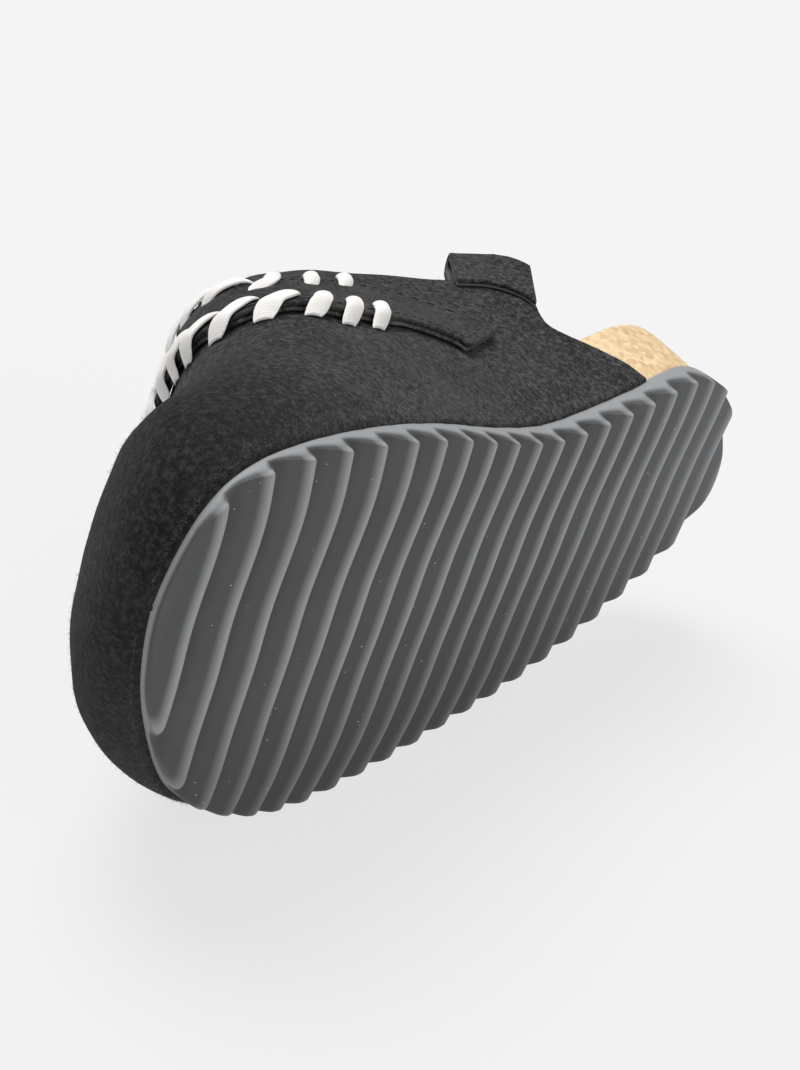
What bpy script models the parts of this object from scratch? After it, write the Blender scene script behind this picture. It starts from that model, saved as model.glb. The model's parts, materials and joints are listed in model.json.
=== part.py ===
"""Closed-toe suede clog slipper for the right foot, lying on its outer side.

The shoe is drawn upright in its own frame: x from the back of the heel to the toe, y towards the
big-toe side, z up from the plane that the tread stands on. One empty then lays the whole shoe on
its outer side, on the flat spot of its own hull that its centre of mass stands over.
"""
import math

import bmesh
import bpy
import numpy as np
from mathutils import Matrix

# Driving sizes of the shoe, in metres
LENGTH = 0.250
BALL_WIDTH = 0.096
INSTEP_HEIGHT = 0.0925
SOLE_THICKNESS = 0.0075
TOE_SPRING = 0.0050
TOP_SPRING_SHARE = 0.2
GAP = 0.0003

# Tread: cross ribs, each with a flat crest, a steep face to the heel and a hollow face to the toe
RIB_PITCH = 0.01163
RIB_DEPTH = 0.0032
TOE_RIB_LOSS = 0.4
CREST_FLAT = 0.0018
STEEP_RUN = 0.0013
VALLEY_FLAT = 0.0010
FIRST_CREST = 0.2377
RIB_LEAN = 0.187

# Footbed and insole
FOOTBED_INSET = 0.0012
FOOTBED_RIM = 0.0220
FOOTBED_FLOOR = 0.0075
FOOTBED_FLARE = 0.0028
INSOLE_INSET = 0.0042
INSOLE_THICKNESS = 0.0014

# Upper
WALL = 0.0022
TOE_ROUND = 0.042
TOE_POWER = 2.3
OUTER_POWER = 2.5

# Instep strap and its lace
STRAP_WIDTH = 0.0195
STRAP_THICKNESS = 0.0021
STRAP_LIFT = 0.0006
STRAP_OUTER_END = 0.22
LACE_WIDTH = 0.0043
LACE_THICKNESS = 0.0009
FRONT_LACES = 16
REAR_LACES = 12
LACE_ON_STRAP = 0.0052
LACE_OFF_STRAP = 0.0030
LACE_SLANT = 0.0085
LACE_CLEAR_OF_END = 0.0360

# Pull tab, a strip folded over the topline on the big-toe side
TAB_LENGTH = 0.0225
TAB_OVERLAP = 0.0050
TAB_RISE = 0.0165
TAB_THICKNESS = 0.0018

# Plan outline of the sole, walked round from the back of the heel along the big-toe side.
# Columns: distance from the heel as a share of LENGTH, distance across as a share of BALL_WIDTH.
OUTLINE = (
    (-0.026, 0.080),
    (0.025, 0.270),
    (0.088, 0.385),
    (0.180, 0.443),
    (0.280, 0.412),
    (0.370, 0.388),
    (0.460, 0.378),
    (0.560, 0.410),
    (0.680, 0.466),
    (0.780, 0.496),
    (0.880, 0.500),
    (0.950, 0.470),
    (0.986, 0.385),
    (0.996, 0.220),
    (0.978, 0.060),
    (0.936, -0.115),
    (0.860, -0.325),
    (0.770, -0.445),
    (0.660, -0.507),
    (0.530, -0.505),
    (0.400, -0.473),
    (0.270, -0.428),
    (0.170, -0.362),
    (0.080, -0.270),
    (0.005, -0.160),
    (-0.030, -0.040),
)

# Wave of the ribs in plan. Columns: across as a share of BALL_WIDTH, push towards the toe as a share
# of LENGTH.
RIB_WAVE = (
    (-0.52, 0.0116),
    (-0.39, -0.0040),
    (-0.13, -0.0052),
    (0.00, -0.0048),
    (0.13, -0.0012),
    (0.39, -0.0016),
    (0.52, 0.0088),
)

# Crown line of the upper. Columns: station as a share of LENGTH, height as a share of INSTEP_HEIGHT.
CROWN = (
    (0.20, 1.000),
    (0.36, 1.000),
    (0.46, 0.970),
    (0.52, 0.905),
    (0.60, 0.790),
    (0.66, 0.685),
    (0.72, 0.580),
    (0.78, 0.505),
    (0.84, 0.445),
    (0.90, 0.393),
    (0.98, 0.316),
)

# Sections of the upper. Columns: station as a share of LENGTH, shift of the crown towards the big toe
# as a share of BALL_WIDTH, squareness of the section on that side, bulge of the wall as a share of
# BALL_WIDTH and the height over which it bulges as a share of INSTEP_HEIGHT.
SECTIONS = (
    (0.20, 0.100, 3.0, 0.03125, 0.75),
    (0.34, 0.100, 3.0, 0.04167, 0.90),
    (0.50, 0.110, 3.1, 0.05729, 1.05),
    (0.62, 0.100, 3.2, 0.05208, 0.85),
    (0.72, 0.080, 3.1, 0.03958, 0.55),
    (0.86, 0.030, 2.9, 0.03333, 0.42),
    (1.00, 0.000, 2.7, 0.03333, 0.42),
)

# Back edge of the upper. Columns: turn from the sole edge (0) to the crown (1), station share of LENGTH.
COLLAR = (
    (0.000, 0.224),
    (0.035, 0.245),
    (0.065, 0.262),
    (0.092, 0.268),
    (0.117, 0.258),
    (0.150, 0.238),
    (0.200, 0.236),
    (0.240, 0.252),
    (0.280, 0.292),
    (0.430, 0.380),
    (0.700, 0.435),
    (1.000, 0.458),
)

# Middle of the strap, in the same two columns
STRAP_LINE = (
    (0.090, 0.405),
    (0.120, 0.410),
    (0.150, 0.427),
    (0.200, 0.473),
    (0.270, 0.548),
    (0.350, 0.597),
    (0.475, 0.627),
    (0.634, 0.635),
    (0.800, 0.620),
    (1.000, 0.600),
)

# Top of the footbed. Columns: station share of LENGTH, rim height and floor height as shares of
# FOOTBED_RIM and FOOTBED_FLOOR above the sole.
FOOTBED = (
    (0.00, 0.90, 1.00),
    (0.12, 0.95, 0.95),
    (0.28, 1.00, 1.10),
    (0.42, 0.88, 1.25),
    (0.60, 0.58, 1.05),
    (0.75, 0.42, 0.85),
    (1.00, 0.34, 0.80),
)

# Materials. Columns: name, base colour, roughness, density in kg per cubic metre for the balance point.
MATERIALS = {
    "outsole": ((0.060, 0.062, 0.068), 0.62, 300.0),
    "footbed": ((0.560, 0.370, 0.190), 0.85, 250.0),
    "insole": ((0.050, 0.045, 0.042), 0.95, 400.0),
    "upper": ((0.012, 0.012, 0.013), 0.95, 500.0),
    "instep_strap": ((0.014, 0.014, 0.015), 0.95, 500.0),
    "pull_tab": ((0.014, 0.014, 0.015), 0.95, 500.0),
    "lace": ((0.860, 0.830, 0.790), 0.70, 500.0),
}

STATIONS = 29
TURNS = 38
COLUMNS = 8
OUTLINE_STEPS = 16


def smooth(table, x, column=1):
    """Cubic curve through one column of a table whose first column rises."""
    keys = np.array([row[0] for row in table])
    values = np.array([row[column] for row in table])
    slopes = np.gradient(values, keys)
    x = np.clip(x, keys[0], keys[-1])
    left = np.clip(np.searchsorted(keys, x) - 1, 0, len(keys) - 2)
    width = keys[left + 1] - keys[left]
    t = (x - keys[left]) / width
    return ((1 + 2 * t) * (1 - t) ** 2 * values[left]
            + t * (1 - t) ** 2 * width * slopes[left]
            + t * t * (3 - 2 * t) * values[left + 1]
            + t * t * (t - 1) * width * slopes[left + 1])


def outline_points(inset):
    """The closed plan outline, a round curve through the table's rows, moved inwards by inset."""
    rows = np.array(OUTLINE) * (LENGTH, BALL_WIDTH)
    before = np.roll(rows, 1, axis=0)
    after = np.roll(rows, -1, axis=0)
    after_next = np.roll(rows, -2, axis=0)
    t = (np.arange(OUTLINE_STEPS) / OUTLINE_STEPS)[None, :, None]
    p0, p1, p2, p3 = (row[:, None, :] for row in (before, rows, after, after_next))
    curve = 0.5 * (2 * p1 + (p2 - p0) * t + (2 * p0 - 5 * p1 + 4 * p2 - p3) * t ** 2
                   + (3 * p1 - p0 - 3 * p2 + p3) * t ** 3)
    curve = curve.reshape(-1, 2)
    along = np.roll(curve, -1, axis=0) - np.roll(curve, 1, axis=0)
    along /= np.linalg.norm(along, axis=1)[:, None]
    inwards = np.column_stack([along[:, 1], -along[:, 0]])
    middle = np.array([0.5 * LENGTH, 0.0])
    if np.sum((middle - curve) * inwards) < 0:
        inwards = -inwards
    return curve + inset * inwards


def rib_wave(y):
    """How far a rib is pushed towards the toe at y."""
    return LENGTH * smooth(RIB_WAVE, y / BALL_WIDTH)


class Plan:
    """The outline cut by lines that run across the shoe, parallel to its ribs."""

    def __init__(self, inset, waved=False):
        points = outline_points(inset)
        self.waved = waved
        station = points[:, 0] - self.lean(points[:, 1])
        start = int(np.argmin(station))
        points = np.roll(points, -start, axis=0)
        station = np.roll(station, -start)
        front = int(np.argmax(station))
        self.first = station[0]
        self.last = station[front]
        self.inner = (station[:front + 1], points[:front + 1, 1])
        self.outer = (np.append(station[front:], station[0])[::-1],
                      np.append(points[front:, 1], points[0, 1])[::-1])

    def lean(self, y):
        """How far a cross line has moved towards the toe at y."""
        return RIB_LEAN * y + (rib_wave(y) if self.waved else 0.0)

    def edges(self, station):
        """y of the big-toe edge and of the outer edge on the line at this station."""
        return np.interp(station, *self.inner), np.interp(station, *self.outer)

    def grid(self, stations, shares):
        """x and y of the crossings: shares run from 0 at the big-toe edge to 1 at the outer one."""
        inner, outer = self.edges(stations)
        y = inner[:, None] + (outer - inner)[:, None] * shares[None, :]
        return stations[:, None] + self.lean(y), y


def toe_spring(x):
    """Rise of the sole's underside towards the toe."""
    start = 0.69 * LENGTH
    return TOE_SPRING * np.clip((x - start) / (LENGTH - start), 0.0, None) ** 2


def sole_top(x):
    """Height of the outsole's top, which rises less at the toe than its underside."""
    return SOLE_THICKNESS + TOP_SPRING_SHARE * toe_spring(x)


def seam_height(x):
    """Height at which the upper and the footbed stand on the outsole."""
    return sole_top(x) + GAP


def away_from_spine(x, y):
    """Unit direction in plan away from a line down the middle of the foot."""
    spine_x = np.clip(x, 0.16 * LENGTH, 0.82 * LENGTH)
    spine_y = 0.10 * BALL_WIDTH * np.clip((x - 0.5 * LENGTH) / (0.5 * LENGTH), -0.5, 1.0)
    away = np.stack([x - spine_x, y - spine_y], axis=-1)
    return away / np.maximum(np.linalg.norm(away, axis=-1, keepdims=True), 1e-4)


def add_object(name, mesh_data, faces_smooth=True):
    """A new object with its own material, in the part's collection and on the lying empty."""
    kind = "lace" if name.startswith("lace") else name
    mesh = bpy.data.meshes.new(name)
    mesh_data.to_mesh(mesh)
    mesh_data.free()
    colour, roughness, _ = MATERIALS[kind]
    material = bpy.data.materials.new(name)
    material.use_nodes = True
    shader = material.node_tree.nodes["Principled BSDF"]
    shader.inputs["Base Color"].default_value = (*colour, 1.0)
    shader.inputs["Roughness"].default_value = roughness
    shader.inputs["Metallic"].default_value = 0.0
    mesh.materials.append(material)
    if faces_smooth:
        mesh.shade_smooth()
        mesh.set_sharp_from_angle(angle=math.radians(40))
    obj = bpy.data.objects.new(name, mesh)
    collection.objects.link(obj)
    obj.parent = lying
    return obj


def layered_solid(low, high):
    """A closed solid between two grids of points that share their four sides' order."""
    rows, columns = low.shape[:2]
    data = bmesh.new()
    layers = []
    for grid in (low, high):
        layers.append([[data.verts.new(point) for point in line] for line in grid.tolist()])
    quads = []
    for i in range(rows - 1):
        for j in range(columns - 1):
            for layer in layers:
                quads.append((layer[i][j], layer[i + 1][j], layer[i + 1][j + 1], layer[i][j + 1]))
    rim = [(i, 0) for i in range(rows)]
    rim += [(rows - 1, j) for j in range(1, columns)]
    rim += [(i, columns - 1) for i in range(rows - 2, -1, -1)]
    rim += [(0, j) for j in range(columns - 2, 0, -1)]
    for (i, j), (k, m) in zip(rim, rim[1:] + rim[:1]):
        quads.append((layers[0][i][j], layers[0][k][m], layers[1][k][m], layers[1][i][j]))
    for quad in quads:
        data.faces.new(quad)
    bmesh.ops.remove_doubles(data, verts=data.verts, dist=1e-6)
    bmesh.ops.triangulate(data, faces=data.faces)
    bmesh.ops.recalc_face_normals(data, faces=data.faces)
    return data


def end_spaced(first, last, count):
    """Stations from first to last, closer together near both ends."""
    share = 0.5 - 0.5 * np.cos(np.linspace(0.0, math.pi, count))
    return first + (last - first) * share


def rib_stations(plan):
    """Stations of the tread's cross lines and how deep each lies below a crest."""
    stations = []
    depths = []
    crest = FIRST_CREST
    hollow = RIB_PITCH - CREST_FLAT - STEEP_RUN - VALLEY_FLAT
    stations += [crest + CREST_FLAT / 2 + 0.45 * hollow, crest + CREST_FLAT / 2]
    depths += [0.62 * RIB_DEPTH, 0.0]
    while crest > plan.first:
        heel_side = crest - CREST_FLAT / 2
        stations += [heel_side, heel_side - STEEP_RUN, heel_side - STEEP_RUN - VALLEY_FLAT,
                     heel_side - STEEP_RUN - VALLEY_FLAT - 0.5 * hollow,
                     heel_side - STEEP_RUN - VALLEY_FLAT - hollow]
        depths += [0.0, RIB_DEPTH, RIB_DEPTH, 0.66 * RIB_DEPTH, 0.0]
        crest -= RIB_PITCH
    stations = np.array(stations)
    depths = np.array(depths)
    near = 0.035 * RIB_PITCH
    next_in = 0.12 * RIB_PITCH
    ends = np.array([plan.first, plan.first + near, plan.first + next_in,
                     plan.last - next_in, plan.last - near, plan.last])
    inside = (stations > ends[2] + near) & (stations < ends[3] - near)
    depth_at = np.interp(ends, stations[::-1], depths[::-1])
    stations = np.append(stations[inside], ends)
    depths = np.append(depths[inside], depth_at)
    order = np.argsort(stations)
    return stations[order], depths[order]


def make_outsole():
    """Ribbed rubber outsole: a flat top, a plain side wall and the ribs run out to the edge."""
    plan = Plan(0.0, waved=True)
    stations, depths = rib_stations(plan)
    x, y = plan.grid(stations, np.linspace(0.0, 1.0, COLUMNS))
    spring = toe_spring(x)
    depth = depths[:, None] * (1.0 - TOE_RIB_LOSS * spring / TOE_SPRING)
    low = np.dstack([x, y, depth + spring])
    high = np.dstack([x, y, sole_top(x)])
    return add_object("outsole", layered_solid(low, high), faces_smooth=False)


def footbed_top(x, station, share):
    """Height of the footbed: a raised rim round a hollow that the foot lies in."""
    along = station / LENGTH
    rim = FOOTBED_RIM * smooth(FOOTBED, along, 1)
    floor = FOOTBED_FLOOR * smooth(FOOTBED, along, 2)
    across = np.abs(2.0 * share - 1.0)
    end = 0.16 * LENGTH
    near = np.minimum(station - BED.first, BED.last - station)
    hollow = np.maximum(across, np.clip(1.0 - near / end, 0.0, 1.0)) ** 3.0
    return seam_height(x) + floor + (rim - floor) * hollow


def make_footbed():
    """Cork footbed, open to view round the heel and inside the upper in front of it."""
    stations = end_spaced(BED.first, BED.last, 24)
    shares = 0.5 - 0.5 * np.cos(np.linspace(0.0, math.pi, 13))
    x, y = BED.grid(stations, shares)
    low = np.dstack([x, y, seam_height(x)])
    top = footbed_top(x, stations[:, None] + 0.0 * y, shares[None, :])
    edge = np.abs(2.0 * shares[None, :] - 1.0) ** 4
    near_heel = np.clip((0.34 * LENGTH - x) / (0.20 * LENGTH), 0.0, 1.0)
    back = np.clip(1.0 - (stations[:, None] - BED.first) / (0.10 * LENGTH), 0.0, 1.0) ** 3
    flare = FOOTBED_FLARE * near_heel * np.maximum(edge, back)
    away = away_from_spine(x, y)
    high = np.dstack([x + flare * away[..., 0], y + flare * away[..., 1], top])
    return add_object("footbed", layered_solid(low, high))


def make_insole():
    """Thin suede sock that lies on the footbed."""
    plan = Plan(INSOLE_INSET)
    stations = end_spaced(plan.first, plan.last, 17)
    x, y = plan.grid(stations, 0.5 - 0.5 * np.cos(np.linspace(0.0, math.pi, 9)))
    inner_edge, outer_edge = BED.edges(stations)
    share = (y - inner_edge[:, None]) / (outer_edge - inner_edge)[:, None]
    bed = footbed_top(x, stations[:, None] + 0.0 * y, share) + 4 * GAP
    low = np.dstack([x, y, bed])
    high = np.dstack([x, y, bed + INSOLE_THICKNESS])
    return add_object("insole", layered_solid(low, high))


BED = Plan(FOOTBED_INSET)


class Last:
    """The foot form that the upper is drawn over, thickness below or above it as asked."""

    def __init__(self, inset):
        self.inset = inset
        self.plan = Plan(inset)

    def point(self, station, turn):
        """A point at a station; turn is 0 at the big-toe edge, 1 on the crown, 2 at the outer edge."""
        station = np.minimum(station, self.plan.last)
        inner, outer = self.plan.edges(station)
        closing = np.clip((station - self.plan.last + TOE_ROUND) / TOE_ROUND, 0.0, 1.0)
        shift = BALL_WIDTH * smooth(SECTIONS, station / LENGTH, 1)
        middle = 0.5 * (inner + outer) + shift * (1.0 - closing)
        angle = 0.5 * math.pi * turn
        cosine = np.cos(angle)
        power = np.where(cosine > 0.0, smooth(SECTIONS, station / LENGTH, 2), OUTER_POWER)
        reach = np.sign(cosine) * np.abs(cosine) ** (2.0 / power)
        half = np.where(cosine > 0.0, inner - middle, middle - outer)
        y = middle + half * reach
        x = station + self.plan.lean(y)
        rim = seam_height(x)
        crown = INSTEP_HEIGHT * smooth(CROWN, station / LENGTH) - self.inset
        rise = (crown - rim) * (1.0 - closing ** TOE_POWER) ** (1.0 / TOE_POWER)
        z = rim + rise * np.abs(np.sin(angle)) ** (2.0 / power)
        return self.bulged(x, y, z, rim)

    def bulged(self, x, y, z, rim):
        """Push the wall outwards a little way up from the sole, round the toe as well."""
        away = away_from_spine(x, y)
        high = INSTEP_HEIGHT * smooth(SECTIONS, x / LENGTH, 4)
        bulge = BALL_WIDTH * smooth(SECTIONS, x / LENGTH, 3)
        push = bulge * np.sin(math.pi * np.clip((z - rim) / high, 0.0, 1.0)) ** 0.8
        return np.stack([x + push * away[..., 0], y + push * away[..., 1], z], axis=-1)

    def frame(self, station, turn):
        """The point with its two directions on the surface and its outward normal."""
        step_station = 1e-4
        step_turn = 1e-3
        along = (self.point(station + step_station, turn)
                 - self.point(station - step_station, turn)) / (2 * step_station)
        across = (self.point(station, turn + step_turn)
                  - self.point(station, turn - step_turn)) / (2 * step_turn)
        normal = np.cross(across, along)
        normal /= np.linalg.norm(normal, axis=-1, keepdims=True)
        return self.point(station, turn), along, across, normal

    def lifted(self, station, turn, lift):
        """A point that stands off the surface by lift."""
        point, _, _, normal = self.frame(station, turn)
        return point + normal * np.asarray(lift)[..., None]

    def walk(self, station, turn, heading, distance, steps=8):
        """Walk over the surface from a point, square to the heading, by a signed distance."""
        for _ in range(steps):
            _, along, across, normal = self.frame(station, turn)
            side = np.cross(normal, heading)
            side /= np.linalg.norm(side, axis=-1, keepdims=True)
            aa = np.sum(along * along, axis=-1)
            bb = np.sum(across * across, axis=-1)
            ab = np.sum(along * across, axis=-1)
            sa = np.sum(side * along, axis=-1)
            sb = np.sum(side * across, axis=-1)
            share = distance / steps / (aa * bb - ab * ab)
            station = station + share * (sa * bb - sb * ab)
            turn = turn + share * (sb * aa - sa * ab)
        return station, turn


OUTSIDE = FOOTBED_INSET - GAP - WALL


def collar_station(turn):
    """Station of the upper's back edge, the same on both sides of the foot."""
    return LENGTH * smooth(COLLAR, 1.0 - np.abs(1.0 - turn))


def make_upper():
    """One hollow vamp, open at the back and underneath, its wall of even thickness."""
    turns = np.linspace(0.0, 2.0, TURNS + 1)
    turns = turns - 0.024 * np.sin(4 * math.pi * turns)
    share = np.linspace(0.0, 1.0, STATIONS) ** 1.9
    layers = []
    for inset in (OUTSIDE + WALL, OUTSIDE):
        last = Last(inset)
        back = collar_station(turns)
        station = last.plan.last - share[:, None] * (last.plan.last - back)[None, :]
        layers.append(last.point(station, turns[None, :] + 0.0 * station))
    return add_object("upper", layered_solid(layers[0], layers[1]))


def strap_line(last, count=161):
    """The strap's middle line: stations, turns and the distance walked from its big-toe end."""
    turn = np.linspace(STRAP_LINE[0][0], 2.0 - STRAP_OUTER_END, count)
    station = LENGTH * smooth(STRAP_LINE, 1.0 - np.abs(1.0 - turn))
    point = last.point(station, turn)
    step = np.linalg.norm(np.diff(point, axis=0), axis=1)
    return station, turn, np.append(0.0, np.cumsum(step)), point


def strap_heading(last, along):
    """Direction of the strap's middle line at a distance from its end."""
    _, _, walked, point = strap_line(last)
    heading = np.gradient(point, walked, axis=0)
    return np.stack([np.interp(along, walked, heading[:, axis]) for axis in range(3)], axis=-1)


def strap_place(last, along, across):
    """Station and turn of a place on the strap: along from its end, across towards the toe."""
    station, turn, walked, _ = strap_line(last)
    return last.walk(np.interp(along, walked, station), np.interp(along, walked, turn),
                     strap_heading(last, along), across)


def make_strap():
    """Flat strap laid over the instep, its square ends stitched down on both sides."""
    last = Last(OUTSIDE)
    length = strap_line(last)[2][-1]
    along = np.linspace(0.0, length, 43)
    across = np.linspace(-0.5, 0.5, 6) * STRAP_WIDTH
    along_grid = along[:, None] + 0.0 * across[None, :]
    across_grid = across[None, :] + 0.0 * along[:, None]
    station, turn = strap_place(last, along_grid, across_grid)
    low = last.lifted(station, turn, STRAP_LIFT + 0.0 * station)
    high = last.lifted(station, turn, STRAP_LIFT + STRAP_THICKNESS + 0.0 * station)
    return add_object("instep_strap", layered_solid(low, high))


def offset_walk(offset, length):
    """Distance walked on a line beside the strap's middle line, at each step along the middle line."""
    last = Last(OUTSIDE)
    along = np.linspace(0.0, length, 161)
    station, turn = strap_place(last, along, offset + 0.0 * along)
    steps = np.linalg.norm(np.diff(last.point(station, turn), axis=0), axis=1)
    return along, np.append(0.0, np.cumsum(steps))


def lace_profile():
    """One stitch seen from its side: how far it reaches past the strap's edge, and its underside."""
    on_strap = STRAP_LIFT + STRAP_THICKNESS + 1.5 * GAP
    return (
        (-LACE_ON_STRAP, on_strap),
        (-0.5 * LACE_ON_STRAP, on_strap + 0.7 * GAP),
        (0.10 * LACE_OFF_STRAP, on_strap + 0.7 * GAP),
        (0.43 * LACE_OFF_STRAP, on_strap - 2 * GAP),
        (0.63 * LACE_OFF_STRAP, 0.5 * on_strap),
        (LACE_OFF_STRAP, 1.8 * GAP),
    )


def make_lace(name, edge, spot, walk):
    """One slanted lace stitch over an edge of the strap; edge is 1 in front and -1 behind."""
    last = Last(OUTSIDE)
    reach, lift = np.array(lace_profile()).T
    shift = edge * LACE_SLANT * (reach + LACE_ON_STRAP) / (LACE_OFF_STRAP + LACE_ON_STRAP)
    along = np.interp(spot + shift, walk[1], walk[0])
    station, turn = strap_place(last, along, edge * (0.5 * STRAP_WIDTH + reach))
    point, _, _, normal = last.frame(station, turn)
    side = strap_heading(last, along)
    side -= normal * np.sum(side * normal, axis=1)[:, None]
    side *= 0.5 * LACE_WIDTH / np.linalg.norm(side, axis=1)[:, None]
    low = np.stack([point - side, point + side], axis=1) + (normal * lift[:, None])[:, None, :]
    high = low + LACE_THICKNESS * normal[:, None, :]
    return add_object(name, layered_solid(low, high))


def make_laces():
    """Two rows of stitches, one over each edge of the strap, evenly spaced along that edge."""
    length = strap_line(Last(OUTSIDE))[2][-1]
    for row, edge, count in (("front", 1, FRONT_LACES), ("rear", -1, REAR_LACES)):
        walk = offset_walk(edge * 0.5 * STRAP_WIDTH, length)
        first, last = np.interp([LACE_CLEAR_OF_END, length - LACE_CLEAR_OF_END], *walk)
        for number, spot in enumerate(np.linspace(first, last, count)):
            make_lace(f"lace_{row}_{number + 1}", edge, spot, walk)


def make_tab():
    """Strip folded over the topline on the big-toe side, both legs lying against the collar."""
    last = Last(OUTSIDE)
    turns = np.linspace(0.150, 0.60, 200)
    station = collar_station(turns)
    edge = last.point(station, turns)
    walked = np.append(0.0, np.cumsum(np.linalg.norm(np.diff(edge, axis=0), axis=1)))
    spots = np.linspace(0.0, TAB_LENGTH, 9)
    turn = np.interp(spots, walked, turns)
    station = collar_station(turn)
    point, _, _, normal = last.frame(station, turn)
    tangent = np.gradient(point, spots, axis=0)
    tangent /= np.linalg.norm(tangent, axis=1)[:, None]
    up = np.cross(normal, tangent).mean(axis=0)
    up = up - normal * (normal @ up)[:, None]
    up *= -np.sign(up[0, 0]) / np.linalg.norm(up, axis=1)[:, None]
    half = 0.5 * WALL + GAP
    top = TAB_RISE - half - TAB_THICKNESS
    bend = np.linspace(0.0, math.pi, 7)
    inner = [(half, -TAB_OVERLAP)] + [(half * math.cos(a), top + half * math.sin(a)) for a in bend]
    inner += [(-half, -TAB_OVERLAP)]
    wide = half + TAB_THICKNESS
    outer = [(wide, -TAB_OVERLAP)] + [(wide * math.cos(a), top + wide * math.sin(a)) for a in bend]
    outer += [(-wide, -TAB_OVERLAP)]
    centre = point - 0.5 * WALL * normal

    def sweep(section):
        return np.stack([centre + across * normal + rise * up for across, rise in section], axis=1)

    return add_object("pull_tab", layered_solid(sweep(inner), sweep(outer)))


def mass_centre(objects):
    """Centre of mass of closed meshes, each weighed with its material's density."""
    total = 0.0
    moment = np.zeros(3)
    for obj in objects:
        kind = "lace" if obj.name.startswith("lace") else obj.name
        mesh = obj.data
        points = np.empty(len(mesh.vertices) * 3)
        mesh.vertices.foreach_get("co", points)
        corners = np.empty(len(mesh.polygons) * 3, dtype=int)
        mesh.polygons.foreach_get("vertices", corners)
        a, b, c = points.reshape(-1, 3)[corners.reshape(-1, 3).T]
        volume = np.sum(a * np.cross(b, c), axis=1) / 6.0 * MATERIALS[kind][2]
        total += volume.sum()
        moment += np.sum(volume[:, None] * (a + b + c) / 4.0, axis=0)
    return moment / total


def resting_turn(objects):
    """The turn that lays the shoe on a facet of its hull: sole edge and upper down, outer side."""
    centre = mass_centre(objects)
    hull = bmesh.new()
    for obj in objects:
        for vertex in obj.data.vertices:
            hull.verts.new(vertex.co)
    bmesh.ops.convex_hull(hull, input=hull.verts)
    best = None
    for face in hull.faces:
        corners = np.array([vertex.co for vertex in face.verts])
        a, b, c = corners
        normal = np.cross(b - a, c - a)
        size = np.linalg.norm(normal)
        if size < 1e-12:
            continue
        normal /= size
        if np.dot(normal, a - centre) < 0.0:
            normal = -normal
        if normal[1] > -0.7 or corners[:, 2].min() > SOLE_THICKNESS:
            continue
        foot = centre + normal * np.dot(normal, a - centre)
        shares = [np.dot(np.cross(q - p, foot - p), normal) for p, q in ((a, b), (b, c), (c, a))]
        inside = min(shares) if np.dot(np.cross(b - a, c - a), normal) > 0 else -max(shares)
        if best is None or inside > best[0]:
            best = (inside, normal, a)
    hull.free()
    up = -best[1]
    toeward = np.array([-1.0, 0.0, 0.0])
    row_x = toeward - up * np.dot(toeward, up)
    row_x /= np.linalg.norm(row_x)
    return np.array([row_x, np.cross(up, row_x), up])


def lay_down(objects):
    """Turn the empty so that the shoe lies on its outer side, its box centred over the origin."""
    turn = resting_turn(objects)
    points = []
    for obj in objects:
        local = np.empty(len(obj.data.vertices) * 3)
        obj.data.vertices.foreach_get("co", local)
        points.append(local.reshape(-1, 3) @ turn.T)
    points = np.concatenate(points)
    low = points.min(axis=0)
    high = points.max(axis=0)
    place = np.array([-0.5 * (low[0] + high[0]), -0.5 * (low[1] + high[1]), -low[2]])
    matrix = Matrix.Identity(4)
    for row in range(3):
        matrix[row][:3] = turn[row]
        matrix[row][3] = place[row]
    lying.matrix_world = matrix


for old in list(bpy.data.objects):
    bpy.data.objects.remove(old, do_unlink=True)

collection = bpy.data.collections.new("clog_slipper")
bpy.context.scene.collection.children.link(collection)
lying = bpy.data.objects.new("shoe_lying", None)
collection.objects.link(lying)

make_outsole()
make_footbed()
make_insole()
make_upper()
make_strap()
make_tab()
make_laces()
lay_down([obj for obj in collection.objects if obj.type == "MESH"])
bpy.context.view_layer.update()
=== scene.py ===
# %% [markdown]
# # A closed-toe suede clog slipper, lying on its outer side
# The shoe has a ribbed foam-rubber outsole, a cork footbed, one suede vamp with an open heel, a strap
# whipped on with white lace, and a small pull tab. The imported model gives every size. Each soft or
# textured piece is made again here with finer steps from the same curves, so it lies where the solid lies.

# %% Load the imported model
import json
import math

import bmesh
import bpy
import numpy as np
from mathutils import Matrix


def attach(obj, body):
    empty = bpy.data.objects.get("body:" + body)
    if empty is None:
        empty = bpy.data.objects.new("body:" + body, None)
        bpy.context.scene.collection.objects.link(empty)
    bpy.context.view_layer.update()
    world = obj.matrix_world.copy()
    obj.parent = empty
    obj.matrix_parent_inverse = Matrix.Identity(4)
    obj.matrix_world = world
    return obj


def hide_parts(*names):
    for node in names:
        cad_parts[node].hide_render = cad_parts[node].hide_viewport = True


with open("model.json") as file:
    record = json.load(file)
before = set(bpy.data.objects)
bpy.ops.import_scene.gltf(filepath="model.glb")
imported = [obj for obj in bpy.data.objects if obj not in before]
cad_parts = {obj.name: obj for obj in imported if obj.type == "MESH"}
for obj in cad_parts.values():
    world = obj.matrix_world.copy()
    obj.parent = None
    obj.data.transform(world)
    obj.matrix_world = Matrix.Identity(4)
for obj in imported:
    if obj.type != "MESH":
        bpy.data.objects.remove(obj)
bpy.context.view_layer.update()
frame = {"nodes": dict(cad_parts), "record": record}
print("packed nodes:", len(frame["nodes"]))

# %% [markdown]
# ## The shoe's own frame
# A shoe is drawn upright: x from the back of the heel to the toe, y towards the big toe, z up from the
# tread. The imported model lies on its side. Two known places on the tread and the tread's direction are
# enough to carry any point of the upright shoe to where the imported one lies.

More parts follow.
